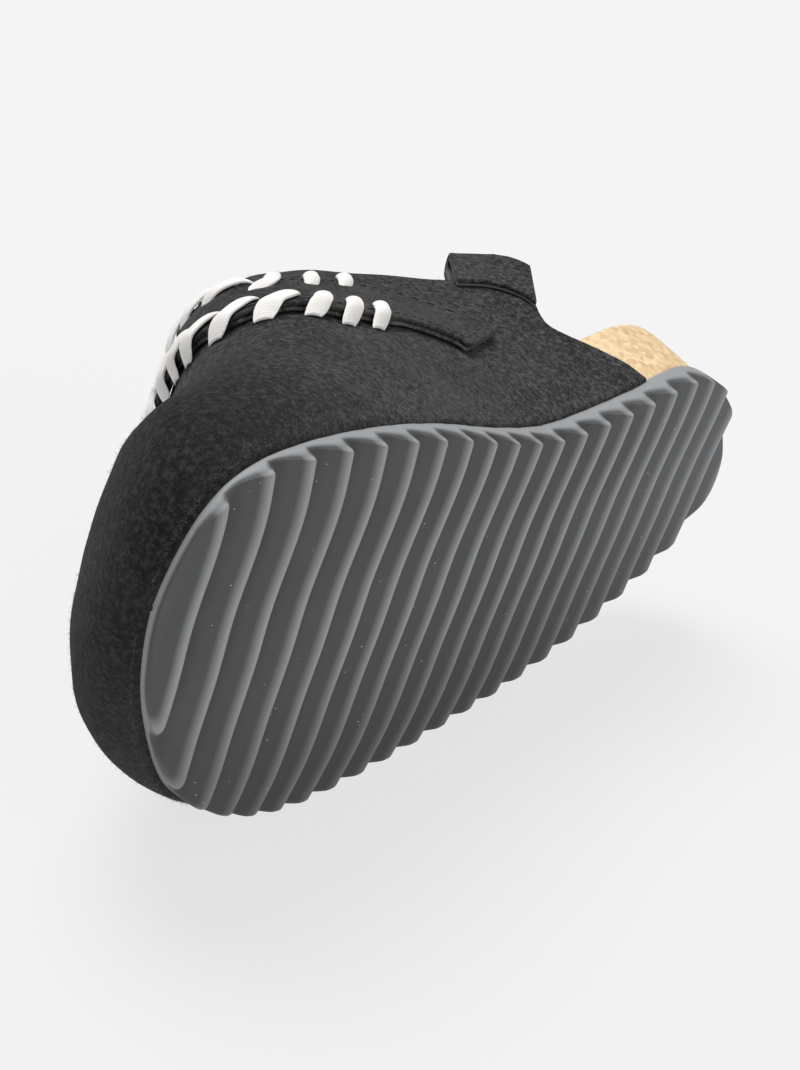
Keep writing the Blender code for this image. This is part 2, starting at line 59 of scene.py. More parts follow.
# %% Turn the upright shoe into the lying one
HEEL_SPOT = np.array([0.0297724, 0.0089624, 0.0])
BALL_SPOT = np.array([0.1687658, 0.0097018, 0.0])
tread_mounts = {mount["name"]: mount for mount in frame["record"]["mounts"]}
heel_world = np.array(tread_mounts["heel_tread"]["pos_m"])
ball_world = np.array(tread_mounts["forefoot_tread"]["pos_m"])
up_world = -np.array(tread_mounts["heel_tread"]["axis"])
up_world /= np.linalg.norm(up_world)
forward_world = ball_world - heel_world
forward_world -= up_world * (forward_world @ up_world)
forward_world /= np.linalg.norm(forward_world)
side_world = np.cross(up_world, forward_world)
forward_shoe = (BALL_SPOT - HEEL_SPOT) / np.linalg.norm(BALL_SPOT - HEEL_SPOT)
x_axis = forward_shoe[0] * forward_world - forward_shoe[1] * side_world
y_axis = forward_shoe[1] * forward_world + forward_shoe[0] * side_world
LAID = np.column_stack([x_axis, y_axis, up_world])
PLACE = heel_world - LAID @ HEEL_SPOT


def laid_down(points):
    """Points of the upright shoe, turned and moved to where the shoe lies: LAID times point plus PLACE."""
    return points @ LAID.T + PLACE


print("big-toe side points up by", round(float(y_axis[2]), 3), "of a metre in each metre")

# %% [markdown]
# ## Camera
# The photograph looks past the toe at the tread from low down, with the camera rolled a little. The
# camera was placed in the upright shoe's frame, and its three directions are carried along with the shoe.

# %% Place the camera
CAMERA_SPOT = np.array([0.5901, 0.2095, -0.1646])
CAMERA_RIGHT = np.array([-0.4902, 0.4005, -0.7741])
CAMERA_DOWN = np.array([0.1613, -0.8312, -0.5321])
CAMERA_FORWARD = np.array([-0.8565, -0.3857, 0.3429])
FOCAL_PIXELS = 2448.0
PHOTO_HEIGHT = 1070.0
SENSOR = 36.0

camera_data = bpy.data.cameras.new("camera")
camera_data.sensor_fit = "VERTICAL"
camera_data.sensor_width = SENSOR
camera_data.sensor_height = SENSOR
camera_data.lens = FOCAL_PIXELS / PHOTO_HEIGHT * SENSOR
camera_data.clip_start = 0.01
camera_data.clip_end = 20.0
camera = bpy.data.objects.new("camera", camera_data)
columns = [LAID @ CAMERA_RIGHT, -(LAID @ CAMERA_DOWN), -(LAID @ CAMERA_FORWARD), laid_down(CAMERA_SPOT)]
turn = Matrix.Identity(4)
for row in range(3):
    turn[row][:] = [float(column[row]) for column in columns]
camera.matrix_world = turn.to_3x3().normalized().to_4x4()
camera.location = [float(value) for value in columns[3]]
bpy.context.scene.collection.objects.link(camera)
bpy.context.scene.camera = camera
print("camera height", round(camera.location.z * 1000), "mm, lens", round(camera_data.lens, 1), "mm")

# %% [markdown]
# ## Floor and light
# A white sweep under even studio light. The surrounding light is one pale colour. A soft lamp above and a
# little behind the shoe gives the pieces their form and the faint contact shadow in front, and a weak
# wide lamp beside the camera opens up the tread.

# %% Make the floor and the lamps
FLOOR_HALF = 12.0


def add_plain_piece(name, vertices, faces):
    """A mesh object from lists of corners and faces, linked to the scene."""
    mesh = bpy.data.meshes.new(name)
    mesh.from_pydata(vertices, [], faces)
    piece = bpy.data.objects.new(name, mesh)
    bpy.context.scene.collection.objects.link(piece)
    return piece


corners = [(-FLOOR_HALF, -FLOOR_HALF, 0.0), (FLOOR_HALF, -FLOOR_HALF, 0.0),
           (FLOOR_HALF, FLOOR_HALF, 0.0), (-FLOOR_HALF, FLOOR_HALF, 0.0)]
floor = add_plain_piece("studio_floor", corners, [(0, 1, 2, 3)])

scene = bpy.context.scene
scene.view_settings.view_transform = "Standard"
scene.world = bpy.data.worlds.new("studio")
scene.world.use_nodes = True
background = scene.world.node_tree.nodes["Background"]
background.inputs["Color"].default_value = (1.0, 1.0, 1.0, 1.0)
background.inputs["Strength"].default_value = 0.32


def add_soft_lamp(name, direction, strength, width_degrees):
    """A lamp at infinity that shines along a direction from a wide patch of sky, so shadows stay soft."""
    data = bpy.data.lights.new(name, "SUN")
    data.energy = strength
    data.angle = math.radians(width_degrees)
    lamp = bpy.data.objects.new(name, data)
    aim = Matrix(((1, 0, 0), (0, 1, 0), (0, 0, 1))).to_4x4()
    back = np.array(direction, dtype=float)
    back /= -np.linalg.norm(back)
    side = np.cross((0.0, 0.0, 1.0), back)
    side /= np.linalg.norm(side)
    rise = np.cross(back, side)
    for row in range(3):
        aim[row][:3] = (float(side[row]), float(rise[row]), float(back[row]))
    lamp.matrix_world = aim
    scene.collection.objects.link(lamp)
    return lamp


add_soft_lamp("overhead_soft_box", (0.10, -0.30, -1.0), 3.3, 40.0)
add_soft_lamp("front_fill", (0.45, 1.0, -0.45), 1.1, 60.0)
print("lamps:", [light.name for light in bpy.data.lights])

# %% [markdown]
# ## Sizes and curves of the shoe
# The same sizes and tables as in the solid model, in metres. A table holds a few rows, and a cubic curve
# runs through them, so one short table draws a long smooth line.

# %% Sizes
LENGTH = 0.250
BALL_WIDTH = 0.096
INSTEP_HEIGHT = 0.0925
SOLE_THICKNESS = 0.0075
TOE_SPRING = 0.0050
TOP_SPRING_SHARE = 0.2
GAP = 0.0003
RIB_PITCH = 0.01163
RIB_DEPTH = 0.0032
TOE_RIB_LOSS = 0.4
CREST_FLAT = 0.0018
STEEP_RUN = 0.0013
VALLEY_FLAT = 0.0010
FIRST_CREST = 0.2377
RIB_LEAN = 0.187
FOOTBED_INSET = 0.0012
FOOTBED_RIM = 0.0220
FOOTBED_FLOOR = 0.0075
FOOTBED_FLARE = 0.0028
INSOLE_INSET = 0.0042
INSOLE_THICKNESS = 0.0014
WALL = 0.0022
TOE_ROUND = 0.042
TOE_POWER = 2.3
OUTER_POWER = 2.5
STRAP_WIDTH = 0.0195
STRAP_THICKNESS = 0.0021
STRAP_LIFT = 0.0006
STRAP_OUTER_END = 0.22
LACE_WIDTH = 0.0043
LACE_THICKNESS = 0.0009
FRONT_LACES = 16
REAR_LACES = 12
LACE_ON_STRAP = 0.0052
LACE_OFF_STRAP = 0.0030
LACE_SLANT = 0.0085
LACE_CLEAR_OF_END = 0.0360
TAB_LENGTH = 0.0225
TAB_OVERLAP = 0.0050
TAB_RISE = 0.0165
TAB_THICKNESS = 0.0018

# %% Tables
# Outline of the sole, from the back of the heel along the big-toe side: x / LENGTH, y / BALL_WIDTH
OUTLINE = (
    (-0.026, 0.080), (0.025, 0.270), (0.088, 0.385), (0.180, 0.443), (0.280, 0.412),
    (0.370, 0.388), (0.460, 0.378), (0.560, 0.410), (0.680, 0.466), (0.780, 0.496),
    (0.880, 0.500), (0.950, 0.470), (0.986, 0.385), (0.996, 0.220), (0.978, 0.060),
    (0.936, -0.115), (0.860, -0.325), (0.770, -0.445), (0.660, -0.507), (0.530, -0.505),
    (0.400, -0.473), (0.270, -0.428), (0.170, -0.362), (0.080, -0.270), (0.005, -0.160),
    (-0.030, -0.040),
)
# Wave of the ribs: y / BALL_WIDTH, push towards the toe / LENGTH
RIB_WAVE = (
    (-0.52, 0.0116), (-0.39, -0.0040), (-0.13, -0.0052), (0.00, -0.0048), (0.13, -0.0012),
    (0.39, -0.0016), (0.52, 0.0088),
)
# Crown line of the upper: station / LENGTH, height / INSTEP_HEIGHT
CROWN = (
    (0.20, 1.000), (0.36, 1.000), (0.46, 0.970), (0.52, 0.905), (0.60, 0.790), (0.66, 0.685),
    (0.72, 0.580), (0.78, 0.505), (0.84, 0.445), (0.90, 0.393), (0.98, 0.316),
)
# Sections of the upper: station / LENGTH, crown shift / BALL_WIDTH, squareness, bulge / BALL_WIDTH and
# the height of the bulge / INSTEP_HEIGHT
SECTIONS = (
    (0.20, 0.100, 3.0, 0.03125, 0.75), (0.34, 0.100, 3.0, 0.04167, 0.90),
    (0.50, 0.110, 3.1, 0.05729, 1.05), (0.62, 0.100, 3.2, 0.05208, 0.85),
    (0.72, 0.080, 3.1, 0.03958, 0.55), (0.86, 0.030, 2.9, 0.03333, 0.42),
    (1.00, 0.000, 2.7, 0.03333, 0.42),
)
# Back edge of the upper: turn from the sole edge (0) to the crown (1), station / LENGTH
COLLAR = (
    (0.000, 0.224), (0.035, 0.245), (0.065, 0.262), (0.092, 0.268), (0.117, 0.258),
    (0.150, 0.238), (0.200, 0.236), (0.240, 0.252), (0.280, 0.292), (0.430, 0.380),
    (0.700, 0.435), (1.000, 0.458),
)
# Middle of the strap, in the same two columns
STRAP_LINE = (
    (0.090, 0.405), (0.120, 0.410), (0.150, 0.427), (0.200, 0.473), (0.270, 0.548),
    (0.350, 0.597), (0.475, 0.627), (0.634, 0.635), (0.800, 0.620), (1.000, 0.600),
)
# Top of the footbed: station / LENGTH, rim height / FOOTBED_RIM, floor height / FOOTBED_FLOOR
FOOTBED = (
    (0.00, 0.90, 1.00), (0.12, 0.95, 0.95), (0.28, 1.00, 1.10), (0.42, 0.88, 1.25),
    (0.60, 0.58, 1.05), (0.75, 0.42, 0.85), (1.00, 0.34, 0.80),
)


def smooth(table, x, column=1):
    """Cubic curve through one column of a table whose first column rises, its slopes by differences."""
    keys = np.array([row[0] for row in table])
    values = np.array([row[column] for row in table])
    slopes = np.gradient(values, keys)
    x = np.clip(x, keys[0], keys[-1])
    left = np.clip(np.searchsorted(keys, x) - 1, 0, len(keys) - 2)
    width = keys[left + 1] - keys[left]
    t = (x - keys[left]) / width
    return ((1 + 2 * t) * (1 - t) ** 2 * values[left]
            + t * (1 - t) ** 2 * width * slopes[left]
            + t * t * (3 - 2 * t) * values[left + 1]
            + t * t * (t - 1) * width * slopes[left + 1])


print("crown height at the instep", round(float(smooth(CROWN, 0.5)) * INSTEP_HEIGHT * 1000, 1), "mm")

# %% [markdown]
# ## The plan of the sole
# The outline is one closed curve. The ribs run across it on lines that lean forwards and wave a little,
# so a grid is laid on those lines: a station along the shoe and a share across it.

# %% Plan outline and its cross lines
OUTLINE_STEPS = 16


def outline_points(inset):
    """The closed outline, a Catmull-Rom curve through the table's rows, moved inwards by inset."""
    rows = np.array(OUTLINE) * (LENGTH, BALL_WIDTH)
    before = np.roll(rows, 1, axis=0)
    after = np.roll(rows, -1, axis=0)
    after_next = np.roll(rows, -2, axis=0)
    t = (np.arange(OUTLINE_STEPS) / OUTLINE_STEPS)[None, :, None]
    p0, p1, p2, p3 = (row[:, None, :] for row in (before, rows, after, after_next))
    curve = 0.5 * (2 * p1 + (p2 - p0) * t + (2 * p0 - 5 * p1 + 4 * p2 - p3) * t ** 2
                   + (3 * p1 - p0 - 3 * p2 + p3) * t ** 3)
    curve = curve.reshape(-1, 2)
    along = np.roll(curve, -1, axis=0) - np.roll(curve, 1, axis=0)
    along /= np.linalg.norm(along, axis=1)[:, None]
    inwards = np.column_stack([along[:, 1], -along[:, 0]])
    middle = np.array([0.5 * LENGTH, 0.0])
    if np.sum((middle - curve) * inwards) < 0:
        inwards = -inwards
    return curve + inset * inwards


def rib_wave(y):
    """How far a rib is pushed towards the toe at y."""
    return LENGTH * smooth(RIB_WAVE, y / BALL_WIDTH)


class Plan:
    """The outline cut by lines that run across the shoe, parallel to its ribs."""

    def __init__(self, inset, waved=False):
        points = outline_points(inset)
        self.points = points
        self.waved = waved
        station = points[:, 0] - self.lean(points[:, 1])
        start = int(np.argmin(station))
        points = np.roll(points, -start, axis=0)
        station = np.roll(station, -start)
        front = int(np.argmax(station))
        self.first = station[0]
        self.last = station[front]
        self.inner = (station[:front + 1], points[:front + 1, 1])
        self.outer = (np.append(station[front:], station[0])[::-1],
                      np.append(points[front:, 1], points[0, 1])[::-1])

    def lean(self, y):
        """How far a cross line has moved towards the toe at y: RIB_LEAN times y plus the wave."""
        return RIB_LEAN * y + (rib_wave(y) if self.waved else 0.0)

    def edges(self, station):
        """y of the big-toe edge and of the outer edge on the line at this station."""
        return np.interp(station, *self.inner), np.interp(station, *self.outer)

    def grid(self, stations, shares):
        """x and y of the crossings: shares run from 0 at the big-toe edge to 1 at the outer one."""
        inner, outer = self.edges(stations)
        y = inner[:, None] + (outer - inner)[:, None] * shares[None, :]
        return stations[:, None] + self.lean(y), y

    def distance_in(self, x, y):
        """How far each point lies inside the outline: its distance to the nearest of its short lines."""
        flat = np.column_stack([x.ravel(), y.ravel()])[:, None, :]
        nearest = np.full(len(flat), 1.0)
        ends = np.roll(self.points, -1, axis=0)
        for start, end in zip(np.array_split(self.points, 16), np.array_split(ends, 16)):
            run = end - start
            share = ((flat - start) * run).sum(axis=2) / (run ** 2).sum(axis=1)
            gap = flat - start - np.clip(share, 0.0, 1.0)[..., None] * run
            nearest = np.minimum(nearest, np.sqrt((gap ** 2).sum(axis=2)).min(axis=1))
        return nearest.reshape(x.shape)


def toe_spring(x):
    """Rise of the tread towards the toe, as the square of the way from the ball to the tip."""
    start = 0.69 * LENGTH
    return TOE_SPRING * np.clip((x - start) / (LENGTH - start), 0.0, None) ** 2


def sole_top(x):
    """Height of the outsole's top."""
    return SOLE_THICKNESS + TOP_SPRING_SHARE * toe_spring(x)


def seam_height(x):
    """Height at which the upper and the footbed stand on the outsole."""
    return sole_top(x) + GAP


def away_from_spine(x, y):
    """Unit direction in plan away from a line down the middle of the foot."""
    spine_x = np.clip(x, 0.16 * LENGTH, 0.82 * LENGTH)
    spine_y = 0.10 * BALL_WIDTH * np.clip((x - 0.5 * LENGTH) / (0.5 * LENGTH), -0.5, 1.0)
    away = np.stack([x - spine_x, y - spine_y], axis=-1)
    return away / np.maximum(np.linalg.norm(away, axis=-1, keepdims=True), 1e-4)


print("outline points:", len(outline_points(0.0)))

# %% [markdown]
# ## Closed shells
# Nearly every piece of a shoe is a sheet with some thickness. Two grids of points, an under side and an
# upper side, are joined round their rim by half an ellipse, which gives the soft edge of cut hide, foam or
# cork. The faces are listed by array arithmetic, and the direction of the whole shell is set by the sign
# of its volume.

# %% Build a closed shell between two grids
def grid_faces(rows, columns, start):
    """Corner numbers of the quads of a grid stored row by row from number start."""
    row, column = np.meshgrid(np.arange(rows - 1), np.arange(columns - 1), indexing="ij")
    first = start + (row * columns + column).ravel()
    return np.column_stack([first, first + 1, first + columns + 1, first + columns])


def rim_numbers(rows, columns):
    """Flat numbers of a grid's border points, in order round it."""
    number = np.arange(rows * columns).reshape(rows, columns)
    return np.concatenate([number[:, 0], number[-1, 1:], number[-2::-1, -1], number[0, -2:0:-1]])


def rim_outwards(middle):
    """Direction out of a sheet at each border point: from the next point inside to the border point."""
    rows, columns = middle.shape[:2]
    row, column = np.unravel_index(rim_numbers(rows, columns), (rows, columns))
    inner = middle[np.clip(row, 1, rows - 2), np.clip(column, 1, columns - 2)]
    out = middle[row, column] - inner
    return out / np.maximum(np.linalg.norm(out, axis=1, keepdims=True), 1e-9)


def signed_volume(points, quads):
    """Volume inside quads, positive when they face outwards: a sum of triple products over triangles."""
    a, b, c, d = (points[quads[:, k]] for k in range(4))
    return float(np.sum(a * np.cross(b, c)) + np.sum(a * np.cross(c, d))) / 6.0


def shell_arrays(low, high, roundness=1.0, loops=3):
    """Points and quads of a closed shell. Between the two rims a loop at turn a from 0 to 180 degrees is
    middle + cos(a) * half thickness + sin(a) * roundness * half thickness * the outward direction. The
    roundness is one number or one for each point of the grid."""
    rows, columns = low.shape[:2]
    bulge = np.broadcast_to(roundness, (rows, columns)).ravel()[rim_numbers(rows, columns)][:, None]
    count = rows * columns
    rim = rim_numbers(rows, columns)
    below = low.reshape(-1, 3)
    above = high.reshape(-1, 3)
    out = rim_outwards(0.5 * (low + high))
    middle = 0.5 * (below[rim] + above[rim])
    half = 0.5 * (above[rim] - below[rim])
    size = np.linalg.norm(half, axis=1)[:, None]
    turns = np.linspace(math.pi, 0.0, loops + 2)[1:-1]
    walls = [middle + math.cos(a) * half + math.sin(a) * bulge * size * out for a in turns]
    points = np.concatenate([below, above] + walls)
    rings = [rim] + [2 * count + k * len(rim) + np.arange(len(rim)) for k in range(loops)] + [rim + count]
    quads = [grid_faces(rows, columns, 0)[:, ::-1], grid_faces(rows, columns, count)]
    for ring, next_ring in zip(rings, rings[1:]):
        quads.append(np.column_stack([ring, np.roll(ring, -1), np.roll(next_ring, -1), next_ring]))
    quads = np.concatenate(quads)
    if signed_volume(points, quads) < 0.0:
        quads = quads[:, ::-1]
    return points, quads


def with_walls(low_values, high_values, loops=3):
    """Values for a shell's points in their order, blended from the under rim to the upper rim."""
    rim = rim_numbers(*low_values.shape[:2])
    width = low_values.shape[2:]
    below = low_values.reshape(-1, *width)
    above = high_values.reshape(-1, *width)
    shares = 0.5 - 0.5 * np.cos(np.linspace(0.0, math.pi, loops + 2)[1:-1])
    walls = [below[rim] + share * (above[rim] - below[rim]) for share in shares]
    return np.concatenate([below, above] + walls)


def add_piece(name, points, faces, replaced, material, sharp=50.0, notes=()):
    """A new piece that rides on the shoe: points of the upright shoe laid down, doubles merged. Each note
    is an attribute's name and its values for the points, for the material to read."""
    mesh = bpy.data.meshes.new(name)
    mesh.from_pydata(laid_down(points), [], [list(face) for face in np.asarray(faces).tolist()])
    for label, values in notes:
        vector = np.ndim(values) == 2
        store = mesh.attributes.new(label, "FLOAT_VECTOR" if vector else "FLOAT", "POINT")
        store.data.foreach_set("vector" if vector else "value", np.ravel(values).astype(np.float32))
    data = bmesh.new()
    data.from_mesh(mesh)
    bmesh.ops.remove_doubles(data, verts=data.verts, dist=2e-6)
    data.to_mesh(mesh)
    data.free()
    mesh.shade_smooth()
    mesh.set_sharp_from_angle(angle=math.radians(sharp))
    mesh.materials.append(material)
    piece = bpy.data.objects.new(name, mesh)
    scene.collection.objects.link(piece)
    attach(piece, "root")
    if replaced:
        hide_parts(*replaced)
    print(name, "has", sum(len(face.vertices) - 2 for face in mesh.polygons), "triangles")
    return piece


def edge_spaced(first, last, count):
    """Places from first to last, closer together near both ends, by a cosine."""
    share = 0.5 - 0.5 * np.cos(np.linspace(0.0, math.pi, count))
    return first + (last - first) * share


def edge_fall(distance, radius):
    """How far a rounded edge has dropped at a distance inside it: the arc of a circle of that radius."""
    inside = np.clip(1.0 - distance / radius, 0.0, 1.0)
    return radius * (1.0 - np.sqrt(1.0 - inside ** 2))


# %% [markdown]
# ## Shader sums
# A finish is a sum of patterns. A small class wraps a node's output, so a pattern can be written as a
# plain expression, and one method adds any other node with its settings and inputs.

# %% Write shader maths as expressions
class Wire:
    """One output in a material. The signs + - * and ** between wires and numbers add Math nodes."""

    def __init__(self, finish, socket):
        self.finish = finish
        self.socket = socket

    def sum_with(self, operation, first, second):
        return self.finish.node("ShaderNodeMath", {"operation": operation}, {0: first, 1: second})

    def __add__(self, other):
        return self.sum_with("ADD", self, other)

    def __radd__(self, other):
        return self.sum_with("ADD", other, self)

    def __sub__(self, other):
        return self.sum_with("SUBTRACT", self, other)

    def __rsub__(self, other):
        return self.sum_with("SUBTRACT", other, self)

    def __mul__(self, other):
        return self.sum_with("MULTIPLY", self, other)

    def __rmul__(self, other):
        return self.sum_with("MULTIPLY", other, self)

    def __pow__(self, other):
        return self.sum_with("POWER", self, other)


class Finish:
    """A material with its Principled shader. Values that are the same all over are set on its sockets."""

    def __init__(self, name, **values):
        self.material = bpy.data.materials.new(name)
        self.material.use_nodes = True
        self.tree = self.material.node_tree
        self.shader = self.tree.nodes["Principled BSDF"]
        for label, value in values.items():
            self.shader.inputs[label.replace("_", " ")].default_value = value
        self.place = self.node("ShaderNodeTexCoord", out="Object")

    def node(self, kind, settings=None, inputs=None, out=0):
        """A node of this kind: its settings first, then its inputs, each a number, a colour or a wire."""
        node = self.tree.nodes.new(kind)
        for label, value in (settings or {}).items():
            setattr(node, label, value)
        for key, value in (inputs or {}).items():
            if isinstance(value, Wire):
                self.tree.links.new(value.socket, node.inputs[key])
            else:
                node.inputs[key].default_value = value
        return Wire(self, node.outputs[out])

    def grain(self, size, detail=2.0, rough=0.5, place=None):
        """Soft noise whose lumps are about size metres across, from 0 to 1."""
        return self.node("ShaderNodeTexNoise", {}, {"Vector": place or self.place, "Scale": 1.0 / size,
                                                    "Detail": detail, "Roughness": rough})

    def specks(self, size, edge=0.3, soft=0.1, place=None):
        """Round specks about size metres apart: 1 in the middle of a cell, 0 beyond edge of its width."""
        away = self.node("ShaderNodeTexVoronoi", {}, {"Vector": place or self.place, "Scale": 1.0 / size})
        return self.ramp(away, edge + soft, edge)

    def ramp(self, value, low, high):
        """0 at low and 1 at high, smooth between and flat beyond; low may be the larger."""
        return self.node("ShaderNodeMapRange", {"interpolation_type": "SMOOTHSTEP"},
                         {"Value": value, "From Min": low, "From Max": high})

    def mixed(self, share, first, second):
        """A colour between two others."""
        return self.node("ShaderNodeMix", {"data_type": "RGBA"}, {0: share, 6: first, 7: second}, out=2)

    def note(self, label, out="Fac"):
        """A value or vector that the piece's mesh carries."""
        return self.node("ShaderNodeAttribute", {"attribute_name": label}, out=out)

    def paint(self, colour=None, roughness=None, height=None, distance=0.0002, strength=1.0):
        """Link the colour, the roughness and a height in shares of distance metres to the shader."""
        if colour is not None:
            self.tree.links.new(colour.socket, self.shader.inputs["Base Color"])
        if roughness is not None:
            self.tree.links.new(roughness.socket, self.shader.inputs["Roughness"])
        if height is not None:
            bump = self.node("ShaderNodeBump", {}, {"Height": height, "Distance": distance,
                                                    "Strength": strength})
            self.tree.links.new(bump.socket, self.shader.inputs["Normal"])
        return self.material


def grey(value, warm=0.0):
    """A colour of one lightness, a little warmer or cooler."""
    return (value * (1.0 + warm), value, value * (1.0 - warm), 1.0)


floor_finish = Finish("matt_white_sweep", Roughness=0.9, Emission_Strength=0.725)
floor_finish.shader.inputs["Emission Color"].default_value = grey(1.0)
floor.data.materials.append(floor_finish.paint(
    floor_finish.mixed(floor_finish.grain(0.4), grey(0.098), grey(0.102))))
print("floor finish ready")

# %% [markdown]
# ## Foam-rubber outsole
# The tread is one moulded sheet with about twenty waving ribs. Each rib has a narrow crest, a steep face
# towards the heel and a long hollow face towards the toe, so its profile is a saw-tooth. The rib's ends
# are rounded where the mould's wall meets them, more on the outer side. A height that depends only on the
# station gives all ribs at once.

# %% Rib profile and outsole
HOLLOW_RUN = RIB_PITCH - CREST_FLAT - STEEP_RUN - VALLEY_FLAT


def saw_tooth(station):
    """Depth below the crest plane. Going to the heel from the toe side of a crest: a nearly flat crest, a
    steep drop, a valley, then a hollow rise of depth * (1 - share ** 1.5)."""
    start = FIRST_CREST + CREST_FLAT / 2
    back = start - station
    turned = np.mod(back, RIB_PITCH)
    keys = np.array([0.0, 0.5 * CREST_FLAT, CREST_FLAT, CREST_FLAT + STEEP_RUN,
                     CREST_FLAT + STEEP_RUN + VALLEY_FLAT])
    fall = np.array([0.00028, 0.00010, 0.0, RIB_DEPTH, RIB_DEPTH])
    depth = np.interp(turned, keys, fall)
    share = np.clip((turned - keys[-1]) / HOLLOW_RUN, 0.0, 1.0)
    depth = np.where(turned > keys[-1], 0.00028 + (RIB_DEPTH - 0.00028) * (1.0 - share ** 1.5), depth)
    toe_hollow = 0.00028 + 0.62 * RIB_DEPTH * np.clip(-back / (0.45 * HOLLOW_RUN), 0.0, 1.0) ** 0.8
    return np.where(back < 0.0, toe_hollow, depth)


def rib_depth(station):
    """The saw-tooth with its corners rounded: the mean of seven readings within a quarter millimetre."""
    return np.mean([saw_tooth(station + shift) for shift in np.linspace(-0.00022, 0.00022, 7)], axis=0)


def rib_stations(plan):
    """Stations that fall closest together round each crest and drop, and finely at both ends."""
    offsets = np.array([-0.25, 0.0, 0.25, 0.9, 1.5, 1.75, 1.95, 2.25, 2.7, 3.05, 3.35, 4.1, 4.5, 5.3, 6.3,
                        7.4, 8.5, 9.6, 10.5, 11.1]) / 1000.0
    ribs = np.arange(int((FIRST_CREST - plan.first) / RIB_PITCH) + 2)
    starts = FIRST_CREST + CREST_FLAT / 2 - ribs * RIB_PITCH
    stations = (starts[:, None] - offsets[None, :]).ravel()
    ends = np.array([0.0, 0.00005, 0.0002, 0.0005, 0.001, 0.0017])
    front = np.linspace(starts[0] + 0.0006, plan.last - 0.0024, 14)
    stations = np.concatenate([stations, front])
    inside = (stations > plan.first + 0.0022) & (stations < plan.last - 0.0022)
    stations = np.concatenate([stations[inside], plan.first + ends, plan.last - ends])
    return np.unique(np.round(stations, 7))


def make_outsole(material):
    """Under side: saw-tooth depth, less at the toe, plus the toe spring and the rounded rib ends. Upper
    side: flat. The under side's height is never above the plain wall's lower edge."""
    plan = Plan(0.0, waved=True)
    stations = rib_stations(plan)
    x, y = plan.grid(stations, edge_spaced(0.0, 1.0, 84))
    spring = toe_spring(x)
    depth = rib_depth(stations)[:, None] * (1.0 - TOE_RIB_LOSS * spring / TOE_SPRING)
    edge = plan.distance_in(x, y)
    outer_side = np.clip(0.5 - y / (0.5 * BALL_WIDTH), 0.0, 1.0)
    radius = 0.0007 + 0.0016 * outer_side
    fall = edge_fall(edge, radius)
    low = np.dstack([x, y, np.minimum(np.hypot(depth, fall) + spring, sole_top(x) - 0.0022)])
    high = np.dstack([x, y, sole_top(x)])
    points, quads = shell_arrays(low, high, roundness=0.10, loops=3)
    deep = np.broadcast_to(rib_depth(stations)[:, None] / RIB_DEPTH, x.shape)
    # The rib depth share goes to the material, which paints shade in the rib valleys and light on the crests
    # with it.
    depth_for_painted_shade = with_walls(deep, np.full(x.shape, 0.35))
    on_wall = with_walls(np.zeros(x.shape), np.ones(x.shape))
    return add_piece("ribbed_outsole", points, quads, ["outsole"], material, sharp=38.0,
                     notes=[("deep", depth_for_painted_shade), ("on_wall", on_wall)])


foam = Finish("foam_rubber", Roughness=0.55, Specular_IOR_Level=0.2)
lumps = foam.grain(0.0016, 3.0)
clouds = foam.grain(0.018, 3.0)
dust = foam.specks(0.0030, 0.045, 0.02) * foam.ramp(foam.grain(0.012), 0.42, 0.55)
lint = foam.specks(0.0013, 0.05, 0.03) * foam.ramp(foam.grain(0.009), 0.62, 0.75)
deep = foam.note("deep")
along_shoe = foam.node("ShaderNodeSeparateXYZ", {}, {0: foam.place}, out="X")
above_floor = foam.node("ShaderNodeSeparateXYZ", {}, {0: foam.place}, out="Z")
# Painted shade: darker down in the rib valleys.
base = foam.mixed(foam.ramp(deep, 1.0, 0.60), grey(0.040, -0.03), grey(0.066, -0.03))
base = foam.mixed(foam.ramp(clouds, 0.35, 0.7) * 0.3, base, grey(0.095, -0.02))
# Painted light: lighter towards the rib crests, with a pale painted highlight along each crest.
base = foam.mixed(foam.ramp(deep, 0.36, 0.03), base, grey(0.200, -0.03))
base = foam.mixed(foam.ramp(deep, 0.09, 0.02) * 0.45, base, grey(0.34, -0.02))
# Painted light: the plain side wall is made lighter than the tread, as if lit from above.
base = foam.mixed(foam.ramp(foam.note("on_wall"), 0.12, 0.5), base, grey(0.270, -0.03))
# Painted light: the sole grows lighter along the shoe with rising world x.
base = foam.mixed(foam.ramp(along_shoe, 0.01, 0.13) * 0.28, base, grey(0.240, -0.03))
# Painted shade: darker within 60 mm of the floor, low on the lying shoe.
base = foam.mixed(foam.ramp(above_floor, 0.060, 0.0) * 0.65, base, grey(0.035, -0.03))
base = foam.mixed(dust * 0.9 + lint * 0.6, base, grey(0.42, 0.0))
foam_material = foam.paint(base, foam.ramp(clouds, 0.2, 0.8) * 0.12 + 0.48, lumps, 0.00005, 0.6)
outsole_piece = make_outsole(foam_material)

# %% [markdown]
# ## Cork footbed
# Ground cork moulded to the foot: a raised rim round a hollow, left bare round the heel. It is a flat base
# and a hollowed top on the same cross lines, with the rim rounded over by hand sanding.

# %% Footbed
BED = Plan(FOOTBED_INSET)
RIM_ROUND = 0.0042


def footbed_top(x, station, share):
    """Height of the footbed: floor + (rim - floor) * closeness to the edge cubed."""
    along = station / LENGTH
    rim = FOOTBED_RIM * smooth(FOOTBED, along, 1)
    bottom = FOOTBED_FLOOR * smooth(FOOTBED, along, 2)
    across = np.abs(2.0 * share - 1.0)
    end = 0.16 * LENGTH
    near = np.minimum(station - BED.first, BED.last - station)
    hollow = np.maximum(across, np.clip(1.0 - near / end, 0.0, 1.0)) ** 3.0
    return seam_height(x) + bottom + (rim - bottom) * hollow


